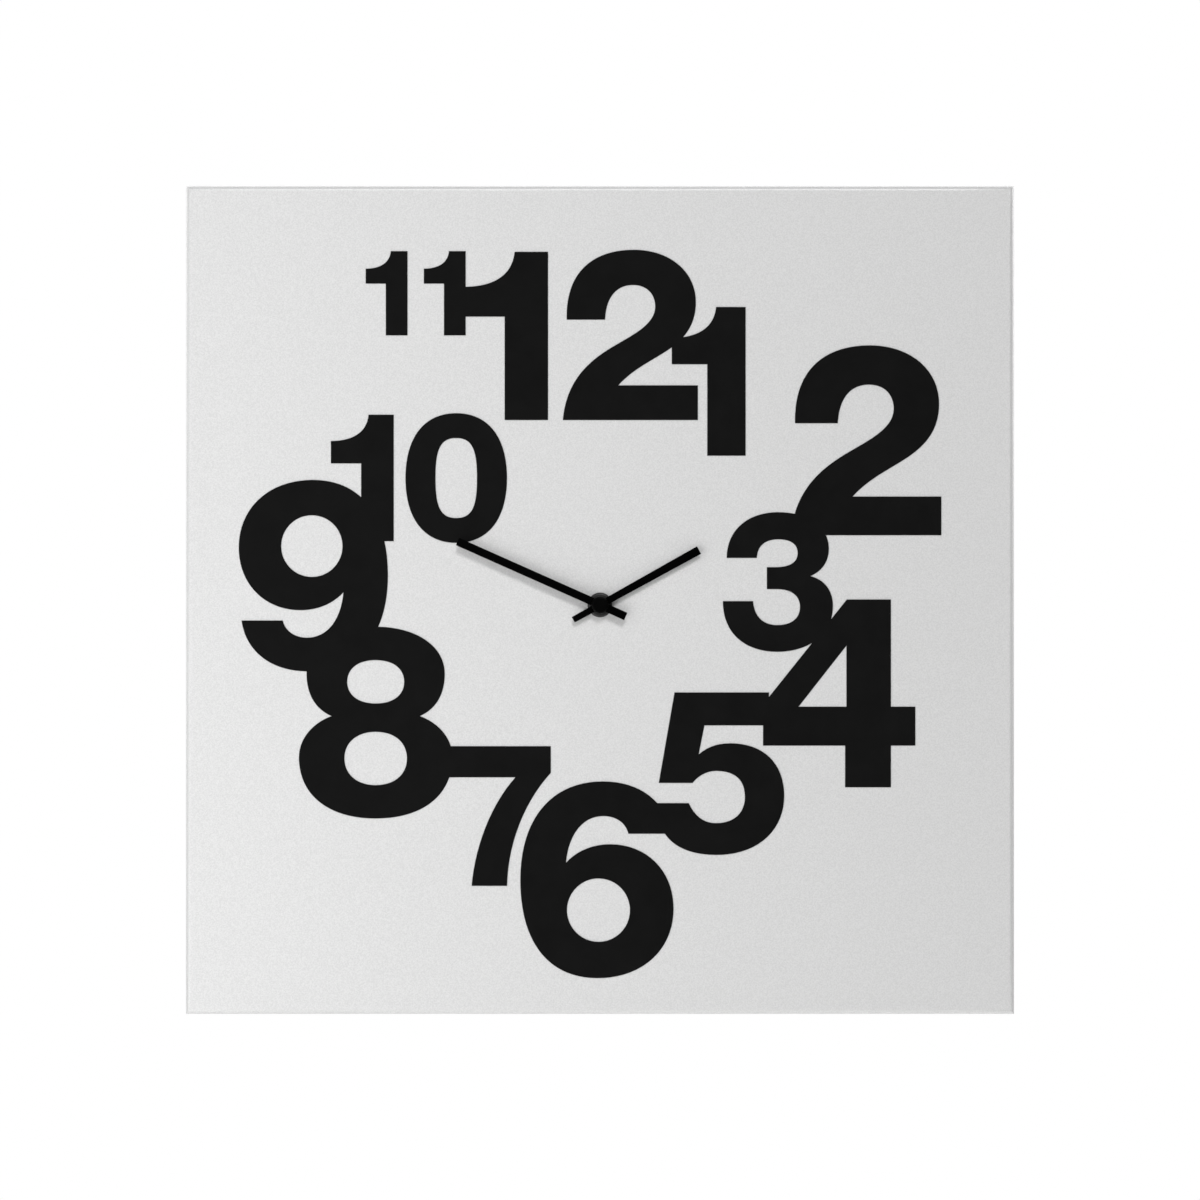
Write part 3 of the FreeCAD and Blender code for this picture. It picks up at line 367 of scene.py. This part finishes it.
def stepAngles(steps):
    return np.linspace(0, 2 * np.pi, steps, endpoint=False)


def turned(rings, centre, steps=96):
    # a profile turned about an axis along Y: x = cx + r cos a and z = cz + r sin a, where each ring
    # is (r, y) and r is a number or one value for each step
    angle = stepAngles(steps)
    radii = np.stack([np.broadcast_to(radius, steps) for radius, depth in rings])
    depths = np.broadcast_to(np.array([[depth] for radius, depth in rings]), radii.shape)
    return np.stack([centre[0] + radii * np.cos(angle), depths, centre[1] + radii * np.sin(angle)], axis=-1)


def threadRings(radius, start, end, spec, steps):
    # a screw thread: r = radius - depth * |triangle wave of y / pitch - a / 2 pi|, fading at both ends
    angle = stepAngles(steps)
    pitch = spec["pitch"]
    depths = np.arange(start, end, pitch / spec["ringsPerTurn"])
    wave = np.abs(2 * ((depths[:, None] / pitch - angle / (2 * np.pi)) % 1.0) - 1)
    fade = np.clip(np.minimum(depths - start, end - depths) / (0.6 * pitch), 0, 1)[:, None]
    return list(zip(radius - spec["threadDepth"] * wave * fade, depths))


def offsetOutline(outline, amount):
    # every point moves inwards along the mitre of its two edges; the outline runs counter-clockwise
    edge = np.roll(outline, -1, axis=0) - outline
    edge = edge / np.linalg.norm(edge, axis=1, keepdims=True)
    after = np.stack([-edge[:, 1], edge[:, 0]], axis=-1)
    before = np.roll(after, 1, axis=0)
    mitre = (before + after) / (1 + np.sum(before * after, axis=1, keepdims=True))
    return outline + amount * mitre


def stacked(outline, rings):
    # a flat shape in layers: each ring is the outline moved in by an inset and laid at a depth y
    layers = [np.insert(offsetOutline(outline, inset), 1, depth, axis=1) for inset, depth in rings]
    return np.stack(layers)


def poleRing(grid, depth):
    # a ring shrunk to the middle of the grid's first ring, which closes a flat end
    centre = grid[0].mean(axis=0)
    centre[1] = depth
    return np.broadcast_to(centre, (1,) + grid.shape[1:])


def roundedRectangle(centre, width, height, corner, steps=48):
    # a circle of the corner's radius whose four quarters are pulled apart to the rectangle's corners
    angle = stepAngles(steps) + np.pi / steps
    x = centre[0] + np.sign(np.cos(angle)) * (width / 2 - corner) + corner * np.cos(angle)
    z = centre[1] + np.sign(np.sin(angle)) * (height / 2 - corner) + corner * np.sin(angle)
    return np.stack([x, z], axis=-1)


# Case: the folded tray

tray = {"sheet": 1.0 * mm, "frontBend": 3.0 * mm, "backBend": 2.4 * mm, "lip": 15.0 * mm, "seam": 0.4 * mm,
        "hole": 4.15 * mm, "bendSegments": 12, "sidePoints": 25, "flatMargin": 0.2 * mm}


def traySection():
    # the sheet's outer and inner face as pairs of (distance in from the side, depth), lip first
    sheet, lipY = tray["sheet"], trayHigh.y
    sections = []
    for skin in (0.0, sheet):
        backBend, frontBend = tray["backBend"] - skin, tray["frontBend"] - skin
        back = arcPoints(tray["backBend"], lipY - tray["backBend"], backBend, 90, 180, tray["bendSegments"])
        front = arcPoints(tray["frontBend"], faceY + tray["frontBend"], frontBend, 180, 270,
                          tray["bendSegments"])
        margin = tray["flatMargin"]
        lipEnd = [(tray["lip"], lipY - skin), (tray["backBend"] + margin, lipY - skin)]
        side = [(skin, lipY - tray["backBend"] - margin), (skin, faceY + tray["frontBend"] + margin)]
        flat = [(tray["frontBend"] + margin, faceY + skin)]
        sections.append(np.array(lipEnd + back + side + front + flat))
    return sections


def makeTray():
    # the section is carried round a square with mitred corners, ends in a round hole, and is slit at the
    # corners behind the front bend
    half = (trayHigh.x - trayLow.x) / 2
    outer, inner = traySection()
    stations = len(outer) + 1
    section = np.concatenate([outer, inner[::-1]])
    perSide = tray["sidePoints"]
    along = np.tan(np.linspace(-np.pi / 4, np.pi / 4, perSide))
    seamStart = 2 + tray["bendSegments"] + 2        # stations before this one are slit at the corners
    order = np.concatenate([np.arange(stations - 1), np.arange(stations - 1)[::-1]])
    slit = np.where(order < seamStart, tray["seam"] / math.sqrt(2), 0.0)
    reach = (half - section[:, 0])[:, None]
    shift = np.zeros(perSide)
    shift[0], shift[-1] = 1, -1
    position = along * reach + shift * slit[:, None]
    sides = [(-position, reach), (-reach, -position), (position, -reach), (reach, position)]
    x = np.concatenate([np.broadcast_to(side[0], position.shape) for side in sides], axis=1)
    z = np.concatenate([np.broadcast_to(side[1], position.shape) for side in sides], axis=1)
    y = np.broadcast_to(section[:, 1:2], x.shape)
    rings = np.stack([x + panelCentre.x, y, z + panelCentre.z], axis=-1)
    middleOfHole = np.array([handAxis.x, faceY, handAxis.z])
    spoke = rings[stations - 2] - [panelCentre.x, faceY, panelCentre.z]
    spoke = spoke / np.linalg.norm(spoke, axis=1, keepdims=True)
    hole = middleOfHole + tray["hole"] * spoke
    holeBack = hole + [0, tray["sheet"], 0]
    grid = np.concatenate([rings[:stations - 1], hole[None], holeBack[None], rings[stations - 1:]])

    ringCount, stepCount = grid.shape[:2]
    faces = ringFaces(ringCount, stepCount, True).reshape(ringCount, stepCount, 4)
    corners = np.arange(1, 5) * perSide - 1         # last step of each side
    keep = np.ones((ringCount, stepCount), bool)
    keep[np.ix_(np.arange(seamStart - 1), corners)] = False
    keep[np.ix_(np.arange(ringCount - seamStart, ringCount), corners)] = False
    outerRing = np.arange(seamStart - 1)
    caps = []
    for step in np.concatenate([corners, (corners + 1) % stepCount]):
        here = outerRing * stepCount + step
        there = (ringCount - 1 - outerRing) * stepCount + step
        caps.append(np.stack([here, here + stepCount, there - stepCount, there], axis=-1))
    last = (seamStart - 1) * stepCount
    lastInner = (ringCount - seamStart) * stepCount
    nextStep = (corners + 1) % stepCount
    caps.append(np.stack([last + corners, last + nextStep, lastInner + nextStep, lastInner + corners],
                         axis=-1))
    allFaces = np.concatenate([faces[keep]] + caps)
    return meshPiece("tray_shell", grid.reshape(-1, 3), allFaces, "silverPowderCoat", "clock_case",
                     ("case_tray",))


makeTray()


# Rubber pads, weld studs and nuts

pad = {"edge": 0.5 * mm, "step": 0.35 * mm, "dish": 2.4 * mm, "dishDepth": 0.2 * mm}


def makePad(node):
    low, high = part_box(node)
    radius = (high.x - low.x) / 2
    body = radius - pad["dishDepth"]
    rings = [(0.0, low.y), (radius, low.y), (radius, low.y + pad["step"]),
             (body, low.y + pad["step"] * 1.3)]
    rings += arcPoints(body - pad["edge"], high.y - pad["edge"], pad["edge"], 0, 90, 8)
    rings += [(pad["dish"] * 1.3, high.y), (pad["dish"], high.y - pad["dishDepth"]),
              (0.0, high.y - pad["dishDepth"])]
    gridPiece(node + "_moulded", [(turned(rings, ((low.x + high.x) / 2, (low.z + high.z) / 2), 64), False)],
              "blackRubber", "clock_case", (node,))


for node in sorted(nodes):
    if node.startswith("wall_bumper"):
        makePad(node)

stud = {"radius": 2.0 * mm, "pitch": 0.7 * mm, "threadDepth": 0.35 * mm, "ringsPerTurn": 8,
        "tip": 0.35 * mm}
hexNut = {"flats": 7.0 * mm, "bore": 2.0 * mm, "chamfer": 0.35 * mm, "face": 0.47, "steps": 96}


def makeStuds():
    low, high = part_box("hanger_studs")
    middleZ = (low.z + high.z) / 2
    steps = 64
    grids = []
    for x in (low.x + stud["radius"], high.x - stud["radius"]):
        rings = [(0.0, low.y), (stud["radius"], low.y)]
        rings += threadRings(stud["radius"], low.y + stud["pitch"], high.y - stud["tip"], stud, steps)
        rings += [(stud["radius"] - stud["tip"], high.y), (0.0, high.y)]
        grids.append((turned(rings, (x, middleZ), steps), False))
    gridPiece("hanger_studs_threaded", grids, "zincSteel", "clock_case", ("hanger_studs",))


def makeHexNuts():
    # the side is the smaller of a hexagon and a cone that cuts its corners at each end
    low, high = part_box("hanger_nuts")
    corner = hexNut["flats"] / math.sqrt(3)
    angle = stepAngles(hexNut["steps"])
    hexagon = hexNut["flats"] / 2 / np.cos(angle % (np.pi / 3) - np.pi / 6)
    chamfer = hexNut["chamfer"]
    height = high.y - low.y
    inset = np.concatenate([np.linspace(0, 3 * chamfer, 7), height - np.linspace(3 * chamfer, 0, 7)])
    cone = hexNut["flats"] * hexNut["face"] + math.sqrt(3) * np.minimum(inset, height - inset)
    side = [(np.minimum(hexagon, limit), low.y + depth) for limit, depth in zip(cone, inset)]
    bore = hexNut["bore"]
    rings = [(bore, low.y + chamfer), (bore + chamfer, low.y)] + side
    rings += [(bore + chamfer, high.y), (bore, high.y - chamfer)]
    middleZ = (low.z + high.z) / 2
    grids = [(turned(rings, (x, middleZ), hexNut["steps"]), True)
             for x in (low.x + corner, high.x - corner)]
    gridPiece("hanger_nuts_chamfered", grids, "zincSteel", "clock_case", ("hanger_nuts",),
              20.0)


makeStuds()
makeHexNuts()

# Fixing of the movement: threaded bushing and round nut

bushing = {"radius": 4.0 * mm, "bore": 2.45 * mm, "flange": 0.6 * mm, "chamfer": 0.4 * mm,
           "pitch": 0.75 * mm, "threadDepth": 0.3 * mm, "ringsPerTurn": 8}
fixingNut = {"bore": 4.0 * mm, "edge": 0.2 * mm, "round": 1.3 * mm, "flutes": 48, "fluteDepth": 0.12 * mm,
             "lead": 0.4 * mm}


def makeBushing():
    low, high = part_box("threaded_bushing")
    flange = (high.x - low.x) / 2
    flangeY = high.y - bushing["flange"]
    rings = [(bushing["bore"], low.y), (bushing["radius"] - bushing["chamfer"], low.y)]
    rings += threadRings(bushing["radius"], low.y + bushing["chamfer"], flangeY - bushing["pitch"],
                         bushing, 96)
    rings += [(bushing["radius"], flangeY), (flange, flangeY), (flange, high.y), (bushing["bore"], high.y)]
    gridPiece("bushing_threaded", [(turned(rings, (handAxis.x, handAxis.z)), True)], "brass", "clock_case",
              ("threaded_bushing",))


def makeFixingNut():
    # the side carries shallow flutes: r = radius - depth * (1 - cos(flutes * a)) / 2
    low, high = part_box("fixing_nut")
    radius = (high.x - low.x) / 2
    steps = fixingNut["flutes"] * 6
    flute = fixingNut["fluteDepth"] * (1 - np.cos(fixingNut["flutes"] * stepAngles(steps))) / 2
    edge, rim = fixingNut["edge"], fixingNut["round"]
    bore, lead = fixingNut["bore"], fixingNut["lead"]
    rings = [(bore, high.y), (radius - 2 * edge, high.y)]
    rings += [(radius - edge - flute, high.y), (radius - flute, high.y - edge),
              (radius - flute, low.y + rim)]
    rings += arcPoints(radius - rim, low.y + rim, rim, -8, -90, 14)
    rings += [(bore + lead, low.y), (bore, low.y + lead)]
    gridPiece("fixing_nut_fluted", [(turned(rings, (handAxis.x, handAxis.z), steps), True)], "blackNut",
              "clock_case", ("fixing_nut",))


makeBushing()
makeFixingNut()
print("case: tray, pads, studs, nuts, bushing")


# Hands

hands = {
    "minute_hand": {"direction": 156.0, "length": 94.0 * mm, "tail": 17.0 * mm, "tipWidth": 4.9 * mm,
                    "tailWidth": 4.9 * mm, "hole": 2.3 * mm, "body": "minute_assembly"},
    "hour_hand": {"direction": 29.0, "length": 68.3 * mm, "tail": 18.5 * mm, "tipWidth": 5.25 * mm,
                  "tailWidth": 3.8 * mm, "hole": 3.3 * mm, "body": "hour_assembly"}}
blade = {"boss": 4.4 * mm, "corner": 0.25 * mm, "edge": 0.22 * mm, "edgeSteps": 5, "runPoints": 30,
         "bossPoints": 48}
handCap = {"bore": 1.4 * mm, "edge": 0.2 * mm, "round": 0.99 * mm}


def bladeOutline(spec):
    # a bar whose width changes evenly from tail to tip; points nearer the axis than the boss radius are
    # pushed out to it, so the outline is the union of the bar and the boss
    boss, corner = blade["boss"], blade["corner"]
    length, tail = spec["length"], spec["tail"]
    run = np.concatenate([np.linspace(length - corner, boss, blade["runPoints"], endpoint=False),
                          boss * np.cos(np.linspace(0, np.pi, blade["bossPoints"], endpoint=False)),
                          np.linspace(-boss, corner - tail, blade["runPoints"] // 3)])
    share = (run + tail) / (length + tail)
    width = (spec["tailWidth"] + (spec["tipWidth"] - spec["tailWidth"]) * share) / 2
    upper = np.stack([run, width], axis=-1)
    quarter = np.linspace(0, np.pi / 2, 6)[1:-1]
    tip = np.stack([length - corner + corner * np.cos(quarter),
                    spec["tipWidth"] / 2 - corner + corner * np.sin(quarter)], axis=-1)
    end = np.stack([corner - tail - corner * np.sin(quarter),
                    spec["tailWidth"] / 2 - corner + corner * np.cos(quarter)], axis=-1)
    top = np.concatenate([tip, upper, end])
    outline = np.concatenate([top, top[::-1] * [1, -1]])
    distance = np.linalg.norm(outline, axis=1, keepdims=True)
    return outline * np.maximum(1.0, boss / distance)


def makeBlade(node):
    # rings: the hole, then the outline round its two rounded edges, and back to the hole
    spec = hands[node]
    low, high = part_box(node)
    edge = blade["edge"]
    outline = bladeOutline(spec)
    turn = np.radians(np.linspace(0, 90, blade["edgeSteps"]))
    rings = [(edge * (1 - math.sin(a)), high.y - edge * (1 - math.cos(a))) for a in turn]
    rings += [(edge * (1 - math.sin(a)), low.y + edge * (1 - math.cos(a))) for a in turn[::-1]]
    layers = stacked(outline, rings)
    spoke = outline / np.linalg.norm(outline, axis=1, keepdims=True)
    hole = [np.insert(spec["hole"] * spoke, 1, depth, axis=1)[None] for depth in (high.y, low.y)]
    grid = np.concatenate([hole[0], layers, hole[1]])
    angle = math.radians(spec["direction"])
    x = grid[..., 0] * math.cos(angle) - grid[..., 2] * math.sin(angle)
    z = grid[..., 0] * math.sin(angle) + grid[..., 2] * math.cos(angle)
    placed = np.stack([x + handAxis.x, grid[..., 1], z + handAxis.z], axis=-1)
    gridPiece(node + "_blade", [(placed, True)], "blackLacquer", spec["body"], (node,), 40.0)


def makeHandCap():
    low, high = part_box("hand_cap_nut")
    radius = (high.x - low.x) / 2
    edge, rim = handCap["edge"], handCap["round"]
    half = (low.y + high.y) / 2
    rings = [(0.0, half), (handCap["bore"], half), (handCap["bore"], high.y), (radius - 2 * edge, high.y)]
    rings += arcPoints(radius - edge, high.y - edge, edge, 90, 0, 5)
    rings += arcPoints(radius - rim, low.y + rim, rim, 0, -90, 16)
    rings += [(radius - 1.2 * rim, low.y), (0.0, low.y)]
    gridPiece("hand_cap_turned", [(turned(rings, (handAxis.x, handAxis.z), 128), False)], "blackCap",
              "minute_assembly", ("hand_cap_nut",))


for node in hands:
    makeBlade(node)
makeHandCap()
print("hands: two blades and the cap")


# Battery, turned about its own axis along X

cell = {"rim": 0.7 * mm, "lip": 5.6 * mm, "recess": 0.35 * mm, "shoulder": 4.2 * mm, "nubRound": 0.5 * mm}


def turnedAlongX(rings, centre, steps=96):
    # the same turning with the axis along X: y = cy + r cos a and z = cz + r sin a
    grid = turned(rings, (0.0, 0.0), steps)
    return np.stack([grid[..., 1], centre[0] + grid[..., 0], centre[1] + grid[..., 2]], axis=-1)


def makeBattery():
    low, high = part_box("battery_cell")
    nubLow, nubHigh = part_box("battery_terminal")
    centre = ((low.y + high.y) / 2, (low.z + high.z) / 2)
    radius = (high.z - low.z) / 2
    rim, lip, recess = cell["rim"], cell["lip"], cell["recess"]
    sleeve = [(0.0, low.x + recess), (lip, low.x + recess), (lip + 0.3 * recess, low.x)]
    sleeve += arcPoints(radius - rim, low.x + rim, rim, -90, 0, 9)
    sleeve += arcPoints(radius - rim, high.x - rim, rim, 0, 90, 9)
    sleeve += [(lip + 0.3 * recess, high.x), (lip, high.x - recess), (0.0, high.x - recess)]
    gridPiece("battery_sleeve_formed", [(turnedAlongX(sleeve, centre), False)], "batterySleeve", "battery",
              ("battery_cell",))
    base = [(0.0, low.x + 0.1 * recess), (lip - recess, low.x + 0.1 * recess),
            (lip - 0.1 * recess, low.x + 0.6 * recess), (lip - 0.1 * recess, low.x + 1.1 * recess),
            (0.0, low.x + 1.1 * recess)]
    crown = [(0.0, high.x - 1.1 * recess), (lip - 0.1 * recess, high.x - 1.1 * recess),
             (lip - 0.1 * recess, high.x - 0.7 * recess), (cell["shoulder"], high.x - 0.6 * recess),
             (cell["shoulder"] - recess, high.x), (0.0, high.x)]
    grids = [(turnedAlongX(rings, centre), False) for rings in (base, crown)]
    gridPiece("battery_end_discs", grids, "plainSteel", "battery")
    nub = (nubHigh.z - nubLow.z) / 2
    tip = [(0.0, nubLow.x), (nub, nubLow.x)]
    tip += arcPoints(nub - cell["nubRound"], nubHigh.x - cell["nubRound"], cell["nubRound"], 0, 90, 8)
    tip += [(0.0, nubHigh.x)]
    gridPiece("battery_nub", [(turnedAlongX(tip, centre, 64), False)], "plainSteel", "battery",
              ("battery_terminal",))


makeBattery()


# Back of the movement: setting knob, and the marks moulded on the housing

knob = {"height": 2.6 * mm, "flutes": 18, "fluteDepth": 0.45 * mm, "stem": 0.9 * mm, "edge": 0.4 * mm,
        "rimWidth": 1.1 * mm, "dishDepth": 0.7 * mm, "boss": 1.6 * mm}
moulding = {"raise": 0.35 * mm, "ringInner": 6.3 * mm, "ringOuter": 7.1 * mm, "arrowRadius": 9.2 * mm,
            "arrowWidth": 0.8 * mm, "arrowHead": 2.0 * mm, "pinRadius": 1.7 * mm, "pinWidth": 0.25 * mm,
            "pinInset": 6.0 * mm, "pinBelowHands": 3.0 * mm, "edge": 0.12 * mm, "markSize": 4.0 * mm,
            "markWidth": 0.9 * mm, "markAboveCell": 4.2 * mm}


def makeKnob():
    # the side is scalloped: r = radius - depth * (1 - cos(flutes * a)) / 2, sharpened to narrow grooves
    low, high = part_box("setting_knob")
    centre = ((low.x + high.x) / 2, (low.z + high.z) / 2)
    radius = (high.x - low.x) / 2
    steps = knob["flutes"] * 12
    groove = knob["fluteDepth"] * ((1 - np.cos(knob["flutes"] * stepAngles(steps))) / 2) ** 3
    seat = high.y - knob["height"]
    edge = knob["edge"]
    inside = radius - knob["rimWidth"]
    floor = high.y - knob["dishDepth"]
    rings = [(0.0, low.y), (knob["stem"], low.y), (knob["stem"], seat), (inside, seat),
             (radius - edge - groove, seat)]
    rings += [(radius - groove, seat + edge), (radius - groove, high.y - edge)]
    rings += [(radius - 0.3 * edge - groove, high.y - 0.3 * edge), (radius - edge - 0.8 * groove, high.y)]
    rings += [(inside, high.y), (inside - edge, floor), (knob["boss"] + edge, floor),
              (knob["boss"], floor + edge), (0.0, floor + edge)]
    gridPiece("setting_knob_fluted", [(turned(rings, centre, steps), False)], "whitePlastic",
              "setting_assembly", ("setting_knob",))
    return centre


def raisedRing(centre, inner, outer, base):
    top, edge = base + moulding["raise"], moulding["edge"]
    rings = [(inner, base), (inner, top - edge), (inner + edge, top), (outer - edge, top),
             (outer, top - edge), (outer, base)]
    return (turned(rings, centre), True)


def raisedArrow(centre, start, end, base):
    # a bar bent round the centre, whose width swells into a head and shrinks to a point at its end
    share = np.array([0, 0] + list(np.linspace(0, 0.72, 20)) + [0.72, 1.0])
    width = np.full(len(share), moulding["arrowWidth"])
    width[0], width[-2], width[-1] = 0.0, moulding["arrowHead"], 0.0
    angle = np.radians(start + (end - start) * share)
    top = base + moulding["raise"]
    half = width / 2
    lift = np.where(width > 0, top, base)
    flat = np.full(len(share), base)
    corners = [(-half, flat), (-half, lift), (half, lift), (half, flat)]
    radius = np.stack([moulding["arrowRadius"] + side for side, depth in corners], axis=-1)
    depths = np.stack([depth for side, depth in corners], axis=-1)
    x = centre[0] + radius * np.cos(angle)[:, None]
    z = centre[1] + radius * np.sin(angle)[:, None]
    return (np.stack([x, depths, z], axis=-1), False)


def raisedPlate(centre, width, height, corner, base):
    top, edge = base + moulding["raise"], moulding["edge"]
    outline = roundedRectangle(centre, width, height, corner)
    grid = stacked(outline, [(0.0, base), (0.0, top - edge), (edge, top)])
    return (np.concatenate([poleRing(grid, base), grid, poleRing(grid, top)]), False)


def makeHousingMarks(knobCentre):
    low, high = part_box("movement_housing")
    sink = 0.05 * mm                                 # the marks start just inside the wall
    base = high.y - sink
    grids = [raisedRing(knobCentre, moulding["ringInner"], moulding["ringOuter"], base)]
    grids += [raisedArrow(knobCentre, start, end, base) for start, end in ((35, 85), (145, 95))]
    pinX = (high.x - low.x) / 2 - moulding["pinInset"]
    for x in (-pinX, pinX):
        for z in (high.z - moulding["pinInset"], handAxis.z - moulding["pinBelowHands"]):
            ring = turned([(moulding["pinRadius"], base), (moulding["pinRadius"], base + 3 * sink),
                           (moulding["pinRadius"] + moulding["pinWidth"], base + 3 * sink),
                           (moulding["pinRadius"] + moulding["pinWidth"], base)], (x, z), 48)
            grids.append((ring, True))
    batteryLow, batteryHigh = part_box("battery_cell")
    markZ = batteryHigh.z + moulding["markAboveCell"]
    size, width = moulding["markSize"], moulding["markWidth"]
    corner = 0.3 * width
    right, left = batteryHigh.x - size, batteryLow.x + size
    grids.append(raisedPlate((right, markZ), size, width, corner, base))
    grids.append(raisedPlate((right, markZ + (size + width) / 4), width, (size - width) / 2, corner, base))
    grids.append(raisedPlate((right, markZ - (size + width) / 4), width, (size - width) / 2, corner, base))
    grids.append(raisedPlate((left, markZ), size, width, corner, base))
    gridPiece("housing_marks", grids, "blackPlastic", "clock_case")


makeHousingMarks(makeKnob())
print("movement: battery, knob and moulded marks")


# Stage: floor, lights and camera

stage = {"floorBelow": 0.80, "floorSize": 13.0, "cameraDistance": 4.0, "pictureWidth": 0.72420,
         "world": 0.072, "floorColour": (0.86, 0.86, 0.85, 1.0)}

lights = {        # place from the panel's centre, width, height, power, and whether it faces straight down
    "key": ((0.60, -6.60, 4.30), 2.0, 2.0, 270.0, False),
    "leftBox": ((-0.70, -1.00, 0.12), 1.2, 1.4, 5.4, False),
    "leftLow": ((-0.80, -1.10, -0.50), 1.4, 1.0, 5.4, False),
    "leftRim": ((-1.60, 0.60, 0.50), 0.8, 0.8, 7.0, False),
    "rightRim": ((1.60, 0.60, 0.50), 0.8, 0.8, 13.0, False),
    "overhead": ((0.0, 3.20, 3.40), 6.0, 6.0, 230.0, True),
    "backKey": ((1.30, 2.60, 1.60), 1.2, 1.2, 26.0, False),
    "backFill": ((-2.20, 1.80, 0.40), 1.6, 1.6, 10.0, False),
}


def makeFloor():
    half = stage["floorSize"] / 2
    z = trayLow.z - stage["floorBelow"]
    mesh = bpy.data.meshes.new("floor")
    corners = [(-half, -half, z), (half, -half, z), (half, half, z), (-half, half, z)]
    mesh.from_pydata(corners, [], [(0, 1, 2, 3)])
    floor = bpy.data.objects.new("floor", mesh)
    bpy.context.scene.collection.objects.link(floor)
    material, *rest = newMaterial("paleFloor", {"Base Color": stage["floorColour"], "Roughness": 0.9,
                                                "Specular IOR Level": 0.2})
    mesh.materials.append(material)


def makeLights():
    for name, (place, width, height, power, down) in lights.items():
        lamp = bpy.data.lights.new(name, "AREA")
        lamp.shape = "RECTANGLE"
        lamp.size = width
        lamp.size_y = height
        lamp.energy = power
        light = bpy.data.objects.new(name, lamp)
        light.location = panelCentre + Vector(place)
        aim = Vector((0.0, 0.0, -1.0)) if down else -Vector(place)
        light.rotation_euler = aim.to_track_quat("-Z", "Y").to_euler()
        bpy.context.scene.collection.objects.link(light)


def makeWorld():
    # white to the camera, dimmer as a light
    world = bpy.data.worlds.new("studio")
    world.use_nodes = True
    tree = world.node_tree
    backdrop = tree.nodes["Background"]
    backdrop.inputs["Color"].default_value = (1.0, 1.0, 1.0, 1.0)
    backdrop.inputs["Strength"].default_value = stage["world"]
    seen = addNode(tree, "ShaderNodeBackground", {"Color": (1.0, 1.0, 1.0, 1.0), "Strength": 1.0})
    ray = addNode(tree, "ShaderNodeLightPath")
    pick = addNode(tree, "ShaderNodeMixShader")
    tree.links.new(ray.outputs["Is Camera Ray"], pick.inputs[0])
    tree.links.new(backdrop.outputs[0], pick.inputs[1])
    tree.links.new(seen.outputs[0], pick.inputs[2])
    tree.links.new(pick.outputs[0], tree.nodes["World Output"].inputs["Surface"])
    bpy.context.scene.world = world


def makeCamera():
    data = bpy.data.cameras.new("camera")
    data.sensor_width = 36.0
    data.lens = data.sensor_width * stage["cameraDistance"] / stage["pictureWidth"]
    camera = bpy.data.objects.new("camera", data)
    camera.location = panelCentre + Vector((0.0, -stage["cameraDistance"], 0.0))
    camera.rotation_euler = (math.pi / 2, 0.0, 0.0)
    bpy.context.scene.collection.objects.link(camera)
    bpy.context.scene.camera = camera


makeFloor()
makeLights()
makeWorld()
makeCamera()
bpy.context.scene.view_settings.view_transform = "Standard"
bpy.context.scene.view_settings.look = "None"
print("stage: floor,", len(lights), "lights, camera")
